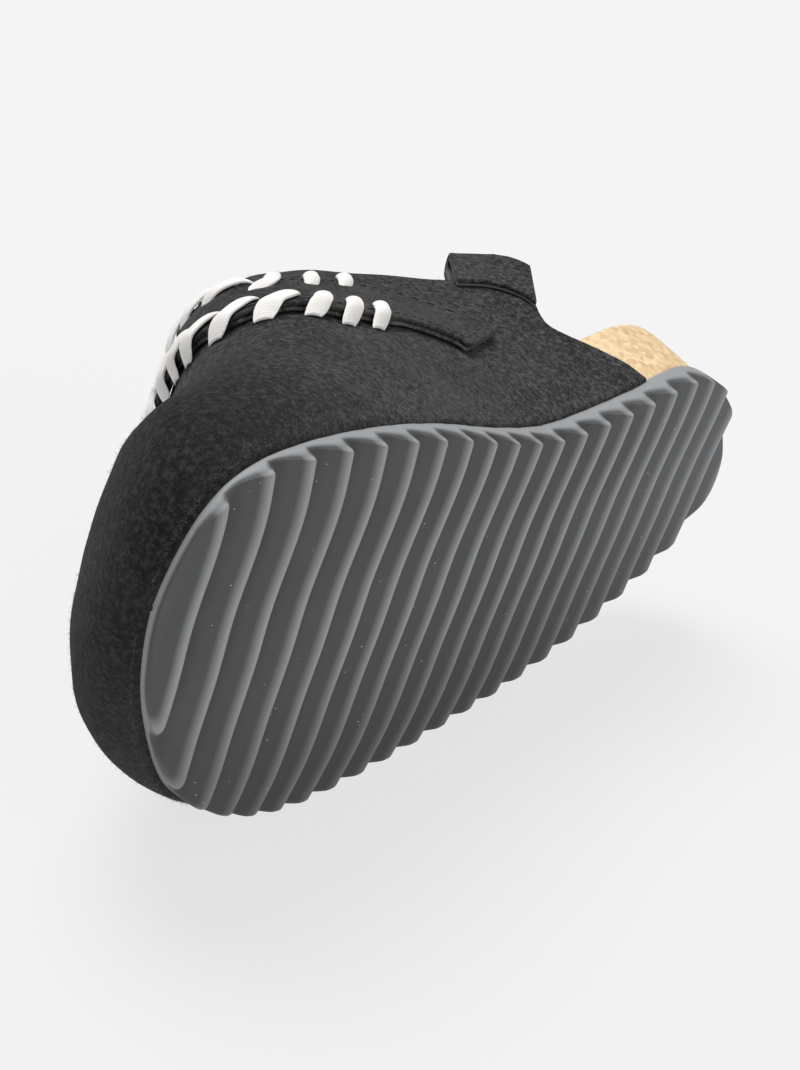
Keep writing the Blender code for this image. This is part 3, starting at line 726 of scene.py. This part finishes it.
def make_footbed(material):
    """The base is flat; the top is footbed_top, its rim rounded and flared outwards at the heel."""
    stations = edge_spaced(BED.first, BED.last, 110)
    shares = edge_spaced(0.0, 1.0, 60)
    x, y = BED.grid(stations, shares)
    station = stations[:, None] + 0.0 * y
    top = footbed_top(x, station, shares[None, :])
    inside = BED.distance_in(x, y)
    top = top - edge_fall(inside, RIM_ROUND) * np.clip((0.42 * LENGTH - x) / (0.1 * LENGTH), 0.35, 1.0)
    edge = np.abs(2.0 * shares[None, :] - 1.0) ** 4
    near_heel = np.clip((0.34 * LENGTH - x) / (0.20 * LENGTH), 0.0, 1.0)
    back = np.clip(1.0 - (stations[:, None] - BED.first) / (0.10 * LENGTH), 0.0, 1.0) ** 3
    flare = FOOTBED_FLARE * near_heel * np.maximum(edge, back)
    away = away_from_spine(x, y)
    low = np.dstack([x, y, seam_height(x) - 0.5 * GAP])
    high = np.dstack([x + flare * away[..., 0], y + flare * away[..., 1], top])
    points, quads = shell_arrays(low, high, roundness=0.13 * near_heel, loops=7)
    return add_piece("cork_footbed", points, quads, ["footbed"], material)


cork = Finish("ground_cork", Roughness=0.85)
granule = cork.node("ShaderNodeTexVoronoi", {}, {"Vector": cork.place, "Scale": 620.0}, out="Color")
pick = cork.node("ShaderNodeSeparateColor", {}, {"Color": granule}, out=0)
pores = cork.specks(0.0035, 0.10, 0.08) * cork.ramp(cork.grain(0.004), 0.45, 0.6)
base = cork.mixed(pick, (0.53, 0.36, 0.19, 1.0), (0.74, 0.56, 0.35, 1.0))
base = cork.mixed(cork.ramp(cork.grain(0.0022, 3.0), 0.55, 0.75) * 0.5, base, (0.42, 0.25, 0.11, 1.0))
base = cork.mixed(pores * 0.6, base, (0.22, 0.12, 0.05, 1.0))
cork_material = cork.paint(base, None, cork.grain(0.0011, 3.0) - pores, 0.00018, 0.7)
footbed_piece = make_footbed(cork_material)

# %% [markdown]
# ## Suede
# Suede is hide with a short nap. Nearly black, it still looks soft grey where light grazes it, which is
# what the shader's sheen does. Patches of nap lie in different directions, so the colour drifts, and single
# light hairs stand out. The same finish, with small changes, serves the vamp, the strap, the tab and the
# sock on the footbed.

# %% Suede finish
def suede(name, dark, light, hair=1.0, tint=0.0, sheen=0.10):
    """Nearly black napped hide: patches between two greys, a fine nap in the colour and in the bump."""
    skin = Finish(name, Roughness=0.92, Sheen_Weight=sheen, Sheen_Roughness=0.45,
                  Specular_IOR_Level=0.12)
    patches = skin.ramp(skin.grain(0.018, 4.0, 0.6), 0.35, 0.68)
    nap = skin.grain(0.0013, 6.0, 0.75)
    fine = skin.grain(0.0004, 4.0, 0.7)
    along = skin.node("ShaderNodeSeparateXYZ", {}, {0: skin.place}, out="X")
    base = skin.mixed(patches, grey(dark, tint), grey(light, tint))
    base = skin.mixed(skin.ramp(nap, 0.50, 0.60) * 0.80 * hair, base, grey(light * 2.8, tint))
    base = skin.mixed(skin.ramp(fine, 0.54, 0.66) * 0.50 * hair, base, grey(light * 3.6, tint))
    base = skin.mixed(skin.ramp(nap, 0.49, 0.40) * 0.85, base, grey(dark * 0.3, tint))
    # Painted shade: darker at the toe end, where world x falls below -0.055 m.
    base = skin.mixed(skin.ramp(along, -0.055, -0.115) * 0.62, base, grey(dark * 0.3, tint))
    return skin.paint(base, None, nap * 0.8 + fine * 0.4 + patches * 0.15, 0.0006, 1.0)


vamp_suede = suede("vamp_suede", 0.0150, 0.0330, 0.85, sheen=0.06)
strap_suede = suede("strap_suede", 0.0230, 0.0400, 0.45, sheen=0.06)
tab_suede = suede("tab_suede", 0.0200, 0.0380, 0.7, sheen=0.06)
sock_suede = suede("sock_suede", 0.030, 0.055, 0.6, 0.12)

# %% Insole
def make_insole(material):
    """A thin sock whose under side follows the footbed's top with a hair of air between."""
    plan = Plan(INSOLE_INSET)
    stations = edge_spaced(plan.first, plan.last, 70)
    shares = edge_spaced(0.0, 1.0, 36)
    x, y = plan.grid(stations, shares)
    inner_edge, outer_edge = BED.edges(stations)
    share = (y - inner_edge[:, None]) / (outer_edge - inner_edge)[:, None]
    bed = footbed_top(x, stations[:, None] + 0.0 * y, share) + 2 * GAP
    low = np.dstack([x, y, bed])
    high = np.dstack([x, y, bed + INSOLE_THICKNESS])
    points, quads = shell_arrays(low, high)
    return add_piece("footbed_sock", points, quads, ["insole"], material)


insole_piece = make_insole(sock_suede)

# %% [markdown]
# ## The last
# A shoe is made over a last. Here it is a function: a station along the shoe and a turn from the big-toe
# edge (0) over the crown (1) to the outer edge (2) give a point, and its derivatives give the directions
# on the surface, so that a strap can be walked over it and a lace can stand off it.

# %% The last as a function of station and turn
class Last:
    """The foot form that the upper is drawn over, moved inwards by inset."""

    def __init__(self, inset):
        self.inset = inset
        self.plan = Plan(inset)

    def point(self, station, turn):
        """Half a superellipse over each side: y = middle + half width * |cos| ** (2 / power), and
        z = rim + rise * |sin| ** (2 / power), closed at the toe by another superellipse."""
        station = np.minimum(station, self.plan.last)
        inner, outer = self.plan.edges(station)
        closing = np.clip((station - self.plan.last + TOE_ROUND) / TOE_ROUND, 0.0, 1.0)
        shift = BALL_WIDTH * smooth(SECTIONS, station / LENGTH, 1)
        middle = 0.5 * (inner + outer) + shift * (1.0 - closing)
        angle = 0.5 * math.pi * turn
        cosine = np.cos(angle)
        power = np.where(cosine > 0.0, smooth(SECTIONS, station / LENGTH, 2), OUTER_POWER)
        reach = np.sign(cosine) * np.abs(cosine) ** (2.0 / power)
        half = np.where(cosine > 0.0, inner - middle, middle - outer)
        y = middle + half * reach
        x = station + self.plan.lean(y)
        rim = seam_height(x)
        crown = INSTEP_HEIGHT * smooth(CROWN, station / LENGTH) - self.inset
        rise = (crown - rim) * (1.0 - closing ** TOE_POWER) ** (1.0 / TOE_POWER)
        z = rim + rise * np.abs(np.sin(angle)) ** (2.0 / power)
        return self.bulged(x, y, z, rim)

    def bulged(self, x, y, z, rim):
        """Push the wall outwards by bulge * sin(pi * height share) ** 0.8."""
        away = away_from_spine(x, y)
        high = INSTEP_HEIGHT * smooth(SECTIONS, x / LENGTH, 4)
        bulge = BALL_WIDTH * smooth(SECTIONS, x / LENGTH, 3)
        push = bulge * np.sin(math.pi * np.clip((z - rim) / high, 0.0, 1.0)) ** 0.8
        return np.stack([x + push * away[..., 0], y + push * away[..., 1], z], axis=-1)

    def frame(self, station, turn):
        """The point, its two directions on the surface by differences, and its outward normal."""
        step_station = 1e-4
        step_turn = 1e-3
        along = (self.point(station + step_station, turn)
                 - self.point(station - step_station, turn)) / (2 * step_station)
        across = (self.point(station, turn + step_turn)
                  - self.point(station, turn - step_turn)) / (2 * step_turn)
        normal = np.cross(across, along)
        normal /= np.linalg.norm(normal, axis=-1, keepdims=True)
        return self.point(station, turn), along, across, normal

    def lifted(self, station, turn, lift):
        """A point that stands off the surface by lift along the normal."""
        point, _, _, normal = self.frame(station, turn)
        return point + normal * np.asarray(lift)[..., None]

    def walk(self, station, turn, heading, distance, steps=8):
        """Walk over the surface square to a heading: each step solves for the change of station and turn
        that moves a set length along the sideways direction."""
        for _ in range(steps):
            _, along, across, normal = self.frame(station, turn)
            side = np.cross(normal, heading)
            side /= np.linalg.norm(side, axis=-1, keepdims=True)
            aa = np.sum(along * along, axis=-1)
            bb = np.sum(across * across, axis=-1)
            ab = np.sum(along * across, axis=-1)
            sa = np.sum(side * along, axis=-1)
            sb = np.sum(side * across, axis=-1)
            share = distance / steps / (aa * bb - ab * ab)
            station = station + share * (sa * bb - sb * ab)
            turn = turn + share * (sb * aa - sa * ab)
        return station, turn


OUTSIDE = FOOTBED_INSET - GAP - WALL
skin = Last(OUTSIDE)
print("crown point at mid foot", np.round(skin.point(np.array(0.5 * LENGTH), np.array(1.0)), 4))

# %% [markdown]
# ## Suede vamp
# One piece of hide, cut with a scooped collar, open at the heel and stuck round the footbed. It is a shell
# between two lasts a wall apart. Real hide isn't even, so both faces share soft dents: a ridge over the
# toe box, a shallow dip behind it and small hollows on the flanks.

# %% Vamp
# Dents: station / LENGTH, turn, width along / LENGTH, width in turn, height in metres
DENTS = (
    (0.905, 0.62, 0.040, 0.40, 0.0012),
    (0.800, 0.80, 0.060, 0.40, -0.0012),
    (0.700, 0.45, 0.070, 0.22, -0.0010),
    (0.500, 0.10, 0.050, 0.06, 0.0008),
    (0.620, 0.16, 0.060, 0.08, -0.0010),
    (0.760, 1.35, 0.070, 0.30, -0.0008),
    (0.400, 0.16, 0.050, 0.06, -0.0009),
)


def collar_station(turn):
    """Station of the upper's back edge, the same on both sides of the foot."""
    return LENGTH * smooth(COLLAR, 1.0 - np.abs(1.0 - turn))


def hide_lift(station, turn):
    """Height of the hide's unevenness: a sum of bell-shaped dents, height * exp(-squares of distance)."""
    lift = np.zeros(np.broadcast(station, turn).shape)
    for along, round_turn, long_width, turn_width, height in DENTS:
        way = ((station / LENGTH - along) / long_width) ** 2 + ((turn - round_turn) / turn_width) ** 2
        lift = lift + height * np.exp(-way)
    ripple = np.sin(station * 310.0 + 9.0 * turn) * np.sin(14.0 * turn - station * 90.0)
    fade = np.clip(np.minimum(turn, 2.0 - turn) / 0.15, 0.0, 1.0)
    return (lift + 0.00022 * ripple) * fade


def make_vamp(material):
    """Both faces of the wall on their own lasts, from the toe back to the collar, raised by hide_lift."""
    turns = np.linspace(0.0, 2.0, 181)
    turns = turns - 0.024 * np.sin(4 * math.pi * turns)
    share = np.linspace(0.0, 1.0, 97) ** 1.9
    layers = []
    for inset in (OUTSIDE + WALL, OUTSIDE):
        last = Last(inset)
        station = last.plan.last - share[:, None] * (last.plan.last - collar_station(turns))[None, :]
        turn = turns[None, :] + 0.0 * station
        point = last.point(station, turn)
        normal = last.frame(np.minimum(station, last.plan.last - 0.002), np.clip(turn, 0.003, 1.997))[3]
        fade = np.clip((last.plan.last - 0.004 - station) / 0.012, 0.0, 1.0)
        layers.append(point + normal * (hide_lift(station, turn) * fade)[..., None])
    points, quads = shell_arrays(layers[0], layers[1], roundness=0.9, loops=5)
    return add_piece("suede_vamp", points, quads, ["upper"], material, sharp=60.0)


vamp_piece = make_vamp(vamp_suede)

# %% [markdown]
# ## Instep strap
# A flat strap of suede stuck to a lining, laid over the instep and stitched down at its square ends. Its
# cut edge shows both layers. Each layer is a thin shell walked over the last to either side of one middle
# line.

# %% Strap
def strap_line(last, count=161):
    """The strap's middle line: stations, turns, the distance walked from its big-toe end and points."""
    turn = np.linspace(STRAP_LINE[0][0], 2.0 - STRAP_OUTER_END, count)
    station = LENGTH * smooth(STRAP_LINE, 1.0 - np.abs(1.0 - turn))
    point = last.point(station, turn)
    step = np.linalg.norm(np.diff(point, axis=0), axis=1)
    return station, turn, np.append(0.0, np.cumsum(step)), point


def strap_heading(last, along):
    """Direction of the strap's middle line at a distance from its end."""
    _, _, walked, point = strap_line(last)
    heading = np.gradient(point, walked, axis=0)
    return np.stack([np.interp(along, walked, heading[:, axis]) for axis in range(3)], axis=-1)


def strap_place(last, along, across):
    """Station and turn of a place on the strap: along from its end, across towards the toe."""
    station, turn, walked, _ = strap_line(last)
    return last.walk(np.interp(along, walked, station), np.interp(along, walked, turn),
                     strap_heading(last, along), across)


def on_strap(along, across, lift):
    """Points above the vamp at places on the strap."""
    station, turn = strap_place(skin, along, across)
    return skin.lifted(station, turn, lift + hide_lift(station, turn))


def make_strap_layer(name, replaced, material, bottom, top, extra):
    """A band between two lifts, wider and longer than the strap by extra at each edge."""
    along = edge_spaced(-extra, STRAP_SPAN + extra, 150)
    across = edge_spaced(-0.5, 0.5, 17) * (STRAP_WIDTH + 2 * extra)
    along, across = np.meshgrid(along, across, indexing="ij")
    uneven = 0.00010 * np.sin(along * 900.0) * np.sin(along * 411.0 + 1.0)
    across = across * (1.0 + uneven / STRAP_WIDTH * 2)
    low = on_strap(along, across, bottom + 0.0 * along)
    high = on_strap(along, across, top + 0.0 * along)
    points, quads = shell_arrays(low, high, roundness=0.8, loops=3)
    return add_piece(name, points, quads, replaced, material)


STRAP_SPAN = float(strap_line(skin)[2][-1])
LAYER = 0.5 * STRAP_THICKNESS
raw_edge = suede("raw_hide_edge", 0.050, 0.090, 0.5, 0.03)
lining_piece = make_strap_layer("strap_lining", [], raw_edge, STRAP_LIFT, STRAP_LIFT + 0.75 * LAYER, 0.0002)
strap_piece = make_strap_layer("strap_band", ["instep_strap"], strap_suede, STRAP_LIFT + 0.85 * LAYER,
                               STRAP_LIFT + STRAP_THICKNESS, 0.0)
print("strap length", round(STRAP_SPAN * 1000), "mm")

# %% [markdown]
# ## Lace stitches
# Flat woven lace is whipped over both edges of the strap: each stitch comes up through the strap, slants
# over its edge and goes down through the vamp. It narrows where it enters the hide and crowns in the
# middle. A stitch is a small shell on strap places, and both rows come from one loop.

# %% Laces
def offset_walk(offset):
    """Distance walked on a line beside the strap's middle line, at each step along the middle line."""
    along = np.linspace(0.0, STRAP_SPAN, 161)
    station, turn = strap_place(skin, along, offset + 0.0 * along)
    steps = np.linalg.norm(np.diff(skin.point(station, turn), axis=0), axis=1)
    return along, np.append(0.0, np.cumsum(steps))


def lace_profile(reach):
    """Height of a stitch's under side at a reach past the strap's edge: flat on the strap, then down."""
    flat = STRAP_LIFT + STRAP_THICKNESS + 1.5 * GAP
    keys = np.array([-LACE_ON_STRAP, -0.75 * LACE_ON_STRAP, -0.5 * LACE_ON_STRAP, 0.10 * LACE_OFF_STRAP,
                     0.43 * LACE_OFF_STRAP, 0.63 * LACE_OFF_STRAP, LACE_OFF_STRAP])
    heights = np.array([flat - 0.0009, flat, flat + 0.7 * GAP, flat + 0.7 * GAP, flat - 2 * GAP,
                        0.5 * flat, GAP])
    return np.mean([np.interp(reach + shift, keys, heights) for shift in (-0.0004, -0.0002, 0.0, 0.0002,
                                                                         0.0004)], axis=0)


def make_lace(edge, spot, walk):
    """Points, quads and weave places of one stitch: its middle line is walked over the strap, and its
    width lies square to that. The width is LACE_WIDTH * (1.1 + 0.3 * room - 0.35 * |2s - 1| ** 4), where
    room grows from the strap's middle to its ends, and the top is crowned across as the root of 1 - c ** 2."""
    s = np.linspace(0.0, 1.0, 19)
    c = np.linspace(-1.0, 1.0, 9)[None, :, None]
    reach = -LACE_ON_STRAP + s * (LACE_ON_STRAP + LACE_OFF_STRAP)
    along = np.interp(spot + edge * LACE_SLANT * s, walk[1], walk[0])
    station, turn = strap_place(skin, along, edge * (0.5 * STRAP_WIDTH + reach))
    point, _, _, normal = skin.frame(station, turn)
    side = strap_heading(skin, along)
    side -= normal * np.sum(side * normal, axis=1)[:, None]
    side /= np.linalg.norm(side, axis=1)[:, None]
    room = abs(2.0 * spot / walk[1][-1] - 1.0)
    width = LACE_WIDTH * (1.1 + 0.3 * room - 0.35 * np.abs(2.0 * s - 1.0) ** 4)
    ends = (1.0 - 0.5 * np.abs(2.0 * s - 1.0) ** 6)[:, None, None]
    middle = point + normal * (lace_profile(reach) + hide_lift(station, turn))[:, None]
    flat = middle[:, None, :] + 0.5 * c * width[:, None, None] * side[:, None, :]
    low = flat - 0.00025 * c ** 2 * normal[:, None, :]
    crown = 0.45 + 0.75 * np.sqrt(np.clip(1.0 - 0.96 * c ** 2, 0.0, 1.0))
    high = flat - 0.00025 * c ** 2 * normal[:, None, :] + LACE_THICKNESS * ends * crown * normal[:, None, :]
    points, quads = shell_arrays(low, high, roundness=0.8, loops=1)
    place = np.concatenate([0.5 * c * width[:, None, None], 0.0 * c + reach[:, None, None],
                            0.0 * c + 0.0 * reach[:, None, None]], axis=2)
    return points, quads, with_walls(place, place, loops=1)


def make_lace_row(name, edge, count, row, material):
    """All stitches of one row in one mesh, evenly spaced along that edge of the strap."""
    walk = offset_walk(edge * 0.5 * STRAP_WIDTH)
    first, last = np.interp([LACE_CLEAR_OF_END, STRAP_SPAN - LACE_CLEAR_OF_END], *walk)
    parts = [make_lace(edge, spot, walk) for spot in np.linspace(first, last, count)]
    sizes = np.cumsum([0] + [len(part[0]) for part in parts])
    points = np.concatenate([part[0] for part in parts])
    quads = np.concatenate([part[1] + start for part, start in zip(parts, sizes)])
    weave = np.concatenate([part[2] for part in parts])
    nodes = [f"lace_{row}_{number + 1}" for number in range(count)]
    return add_piece(name, points, quads, nodes, material, sharp=70.0, notes=[("weave", weave)])


cord = Finish("woven_lace", Roughness=0.72, Sheen_Weight=0.15)
weave = cord.note("weave", "Vector")
parts = cord.node("ShaderNodeSeparateXYZ", {}, {0: weave}, out="X")
ply = cord.node("ShaderNodeSeparateXYZ", {}, {0: weave}, out="Y")
warp = cord.node("ShaderNodeMath", {"operation": "SINE"}, {0: (parts + ply) * 13000.0})
weft = cord.node("ShaderNodeMath", {"operation": "SINE"}, {0: (parts - ply) * 13000.0})
yarn = warp * weft
base = cord.mixed(cord.ramp(yarn, -0.8, 0.4), grey(0.72, 0.03), grey(0.88, 0.02))
base = cord.mixed(cord.ramp(cord.grain(0.004), 0.5, 0.7) * 0.4, base, (0.80, 0.73, 0.66, 1.0))
lace_material = cord.paint(base, None, yarn + cord.grain(0.0003), 0.00006, 0.6)
front_laces = make_lace_row("front_lace_row", 1, FRONT_LACES, "front", lace_material)
rear_laces = make_lace_row("rear_lace_row", -1, REAR_LACES, "rear", lace_material)

# %% [markdown]
# ## Pull tab
# A strip of suede folded over the topline, with both legs stitched to the collar. A section that goes up
# one side, round the fold and down the other is swept along the collar.

# %% Tab
def tab_frame(spots):
    """Middle points of the wall, outward normals and the direction up the wall, along the collar."""
    turns = np.linspace(0.140, 0.60, 240)
    edge = skin.point(collar_station(turns), turns)
    walked = np.append(0.0, np.cumsum(np.linalg.norm(np.diff(edge, axis=0), axis=1)))
    walked -= np.interp(0.150, turns, walked)
    turn = np.interp(spots, walked, turns)
    fine = np.interp(np.linspace(0.0, TAB_LENGTH, 40), walked, turns)
    point, _, _, normal = skin.frame(collar_station(fine), fine)
    tangent = np.gradient(point, axis=0)
    tangent /= np.linalg.norm(tangent, axis=1)[:, None]
    mean_up = np.cross(normal, tangent).mean(axis=0)
    point, _, _, normal = skin.frame(collar_station(turn), turn)
    up = mean_up - normal * (normal @ mean_up)[:, None]
    up *= -np.sign(up[0, 0]) / np.linalg.norm(up, axis=1)[:, None]
    return point - 0.5 * WALL * normal, normal, up


def fold_section(half, top, drop, count=13):
    """Across and rise of a fold: up one leg, half a circle of radius half, down the other leg."""
    legs = np.linspace(-drop, top, 8)
    bend = np.linspace(0.0, math.pi, count)
    across = np.concatenate([np.full(8, half), half * np.cos(bend)[1:-1], np.full(8, -half)])
    rise = np.concatenate([legs, top + half * np.sin(bend)[1:-1], legs[::-1]])
    return across, rise


def make_tab_layer(name, replaced, material, inside, thickness, start, stop):
    """A folded layer between two sections, swept from start to stop along the collar. Its ends splay a
    little, which lifts the corners of the fold."""
    spots = edge_spaced(start, stop, 30)
    centre, normal, up = tab_frame(spots)
    top = TAB_RISE - 0.5 * WALL - GAP - TAB_THICKNESS
    splay = 0.0009 * np.abs(2.0 * (spots - start) / (stop - start) - 1.0) ** 5
    layers = []
    for half in (inside, inside + thickness):
        across, rise = fold_section(half, top, TAB_OVERLAP)
        lifted = rise[None, :] + splay[:, None] * (rise[None, :] > top)
        layers.append(centre[:, None, :] + across[None, :, None] * normal[:, None, :]
                      + lifted[..., None] * up[:, None, :])
    points, quads = shell_arrays(layers[0], layers[1], roundness=0.8, loops=3)
    return add_piece(name, points, quads, replaced, material)


pale_lining = Finish("tab_lining", Roughness=0.85)
lining_base = pale_lining.mixed(pale_lining.grain(0.0006, 3.0), grey(0.05, 0.05), grey(0.13, 0.05))
pale_lining.paint(lining_base, None, pale_lining.grain(0.0004), 0.0001)
TAB_INSIDE = 0.5 * WALL + GAP
tab_lining = make_tab_layer("tab_lining", [], pale_lining.material, TAB_INSIDE, 0.35 * TAB_THICKNESS,
                            -0.0006, TAB_LENGTH)
tab_piece = make_tab_layer("folded_tab", ["pull_tab"], tab_suede, TAB_INSIDE + 0.4 * TAB_THICKNESS,
                           0.6 * TAB_THICKNESS, 0.0, TAB_LENGTH)

# %% [markdown]
# ## Thread and loose hairs
# Stitches and hairs are the same thing at two scales: a thin tube along a short path. Each has only a few
# faces, because there are hundreds of them. A seeded generator places the hairs, so every run is alike.

# %% Thin tubes
def tube_arrays(centres, radii, sides, reference):
    """Tubes round many paths at once. centres is paths by steps by 3, and a ring at each step is
    centre + radius * (cos(a) * side + sin(a) * rise), with side square to the path and the reference."""
    paths, steps = centres.shape[:2]
    tangent = np.gradient(centres, axis=1)
    tangent /= np.linalg.norm(tangent, axis=2, keepdims=True)
    side = np.cross(tangent, reference)
    side /= np.maximum(np.linalg.norm(side, axis=2, keepdims=True), 1e-9)
    rise = np.cross(side, tangent)
    angle = np.linspace(0.0, 2 * math.pi, sides, endpoint=False)[None, None, :, None]
    ring = np.cos(angle) * side[:, :, None, :] + np.sin(angle) * rise[:, :, None, :]
    points = centres[:, :, None, :] + radii[:, :, None, None] * ring
    path, step, spoke = np.meshgrid(np.arange(paths), np.arange(steps - 1), np.arange(sides), indexing="ij")
    first = (path * steps + step) * sides
    after = (spoke + 1) % sides
    quads = np.stack([first + spoke, first + spoke + sides, first + after + sides, first + after], axis=-1)
    caps = np.arange(paths)[:, None] * steps * sides + np.arange(sides)[None, :]
    faces = quads.reshape(-1, 4).tolist() + caps.tolist() + (caps[:, ::-1] + (steps - 1) * sides).tolist()
    return points.reshape(-1, 3), faces


def add_tubes(name, material, points, faces):
    """A piece made of many tubes, laid down and riding on the shoe."""
    mesh = bpy.data.meshes.new(name)
    mesh.from_pydata(laid_down(points), [], faces)
    data = bmesh.new()
    data.from_mesh(mesh)
    bmesh.ops.recalc_face_normals(data, faces=data.faces)
    data.to_mesh(mesh)
    data.free()
    mesh.shade_smooth()
    mesh.materials.append(material)
    piece = bpy.data.objects.new(name, mesh)
    scene.collection.objects.link(piece)
    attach(piece, "root")
    print(name, "has", sum(len(face.vertices) - 2 for face in mesh.polygons), "triangles")
    return piece


# %% Stitches along the strap
def stitch_paths(start, stop, lift_normal, height):
    """Each stitch is an arc from start to stop: a straight line plus height * (1 - (2s - 1) ** 2)."""
    s = np.linspace(0.0, 1.0, 6)[None, :, None]
    arc = height * (1.0 - (2.0 * s - 1.0) ** 2) - 0.35 * height
    return start[:, None, :] + s * (stop - start)[:, None, :] + arc * lift_normal[:, None, :]


def strap_stitches(material):
    """Two rows inside the strap's edges and one row across each end."""
    pitch = 0.0033
    inset = 0.0017
    starts = []
    stops = []
    for edge in (-1, 1):
        along = np.arange(0.0025, STRAP_SPAN - 0.0030, pitch)
        across = edge * (0.5 * STRAP_WIDTH - inset) + 0.0 * along
        starts.append((along, across))
        stops.append((along + 0.70 * pitch, across))
    for end in (0.0022, STRAP_SPAN - 0.0022):
        across = np.arange(-0.5 * STRAP_WIDTH + inset, 0.5 * STRAP_WIDTH - 1.5 * inset, pitch)
        starts.append((end + 0.0 * across, across))
        stops.append((end + 0.0 * across, across + 0.70 * pitch))
    begin = [np.concatenate([pair[k] for pair in starts]) for k in range(2)]
    finish = [np.concatenate([pair[k] for pair in stops]) for k in range(2)]
    lift = STRAP_LIFT + STRAP_THICKNESS + 0.0 * begin[0]
    start = on_strap(begin[0], begin[1], lift)
    stop = on_strap(finish[0], finish[1], lift)
    above = on_strap(begin[0], begin[1], lift + 0.001)
    normal = (above - start) / 0.001
    paths = stitch_paths(start, stop, normal, 0.00030)
    radii = np.full(paths.shape[:2], 0.00021) * np.array([0.5, 0.95, 1.0, 1.0, 0.95, 0.5])[None, :]
    points, faces = tube_arrays(paths, radii, 6, normal[:, None, :])
    return add_tubes("strap_stitching", material, points, faces)


thread = Finish("black_thread", Roughness=0.6, Sheen_Weight=0.2)
twist = thread.grain(0.0005, 2.0)
thread.paint(thread.mixed(twist, grey(0.006), grey(0.016)), None, twist, 0.00008)
stitching = strap_stitches(thread.material)

# %% Loose hairs at the cut edges
RANDOM = np.random.default_rng(7)


def hair_paths(roots, normals, lengths, lean):
    """A hair starts at its root and bends: root + t * direction + t squared * bend."""
    count = len(roots)
    wild = RANDOM.normal(size=(count, 3))
    direction = normals + lean * wild
    direction /= np.linalg.norm(direction, axis=1, keepdims=True)
    bend = 0.5 * RANDOM.normal(size=(count, 3))
    t = np.linspace(0.0, 1.0, 5)[None, :, None]
    return roots[:, None, :] + lengths[:, None, None] * (t * direction[:, None, :]
                                                         + 0.35 * t ** 2 * bend[:, None, :])


def add_hairs(name, material, roots, normals, length, thickness, lean=0.6):
    """Hairs of random length round a mean, each a three-sided tube that tapers to its tip."""
    lengths = length * (0.35 + 1.1 * RANDOM.random(len(roots)) ** 2)
    paths = hair_paths(roots, normals, lengths, lean)
    radii = thickness * np.array([1.0, 0.9, 0.75, 0.55, 0.3])[None, :] * np.ones((len(roots), 1))
    reference = RANDOM.normal(size=(len(roots), 1, 3))
    points, faces = tube_arrays(paths, radii, 3, reference)
    return add_tubes(name, material, points, faces)


def on_vamp(station, turn):
    """Points and outward normals on the vamp's dented face."""
    point, _, _, normal = skin.frame(station, turn)
    return point + normal * hide_lift(station, turn)[:, None], normal


fuzz = Finish("loose_nap", Roughness=0.9)
fuzz.paint(fuzz.mixed(fuzz.grain(0.006), grey(0.05, 0.02), grey(0.25, 0.02)))
seam_count = 3600
seam_turn = np.where(RANDOM.random(seam_count) < 0.6, 0.0, 2.0)
seam_turn = np.abs(seam_turn - 0.016 * RANDOM.random(seam_count) ** 2)
seam_share = RANDOM.random(seam_count)
seam_station = (skin.plan.last - 0.0005
                - seam_share ** 1.6 * (skin.plan.last - 0.0005 - collar_station(seam_turn)))
seam_roots, seam_normals = on_vamp(seam_station, seam_turn)
seam_hairs = add_hairs("seam_nap", fuzz.material, seam_roots, seam_normals, 0.0005, 0.00002)

face_count = 5200
face_turn = RANDOM.random(face_count) * 1.96 + 0.02
face_share = RANDOM.random(face_count) ** 1.3
face_station = (skin.plan.last - 0.003
                - face_share * (skin.plan.last - 0.003 - collar_station(face_turn)))
face_roots, face_normals = on_vamp(face_station, face_turn)
short = Finish("standing_nap", Roughness=0.95)
short.paint(short.mixed(short.grain(0.01), grey(0.012), grey(0.055)))
face_hairs = add_hairs("vamp_nap", short.material, face_roots, face_normals, 0.0007, 0.00003, 1.0)
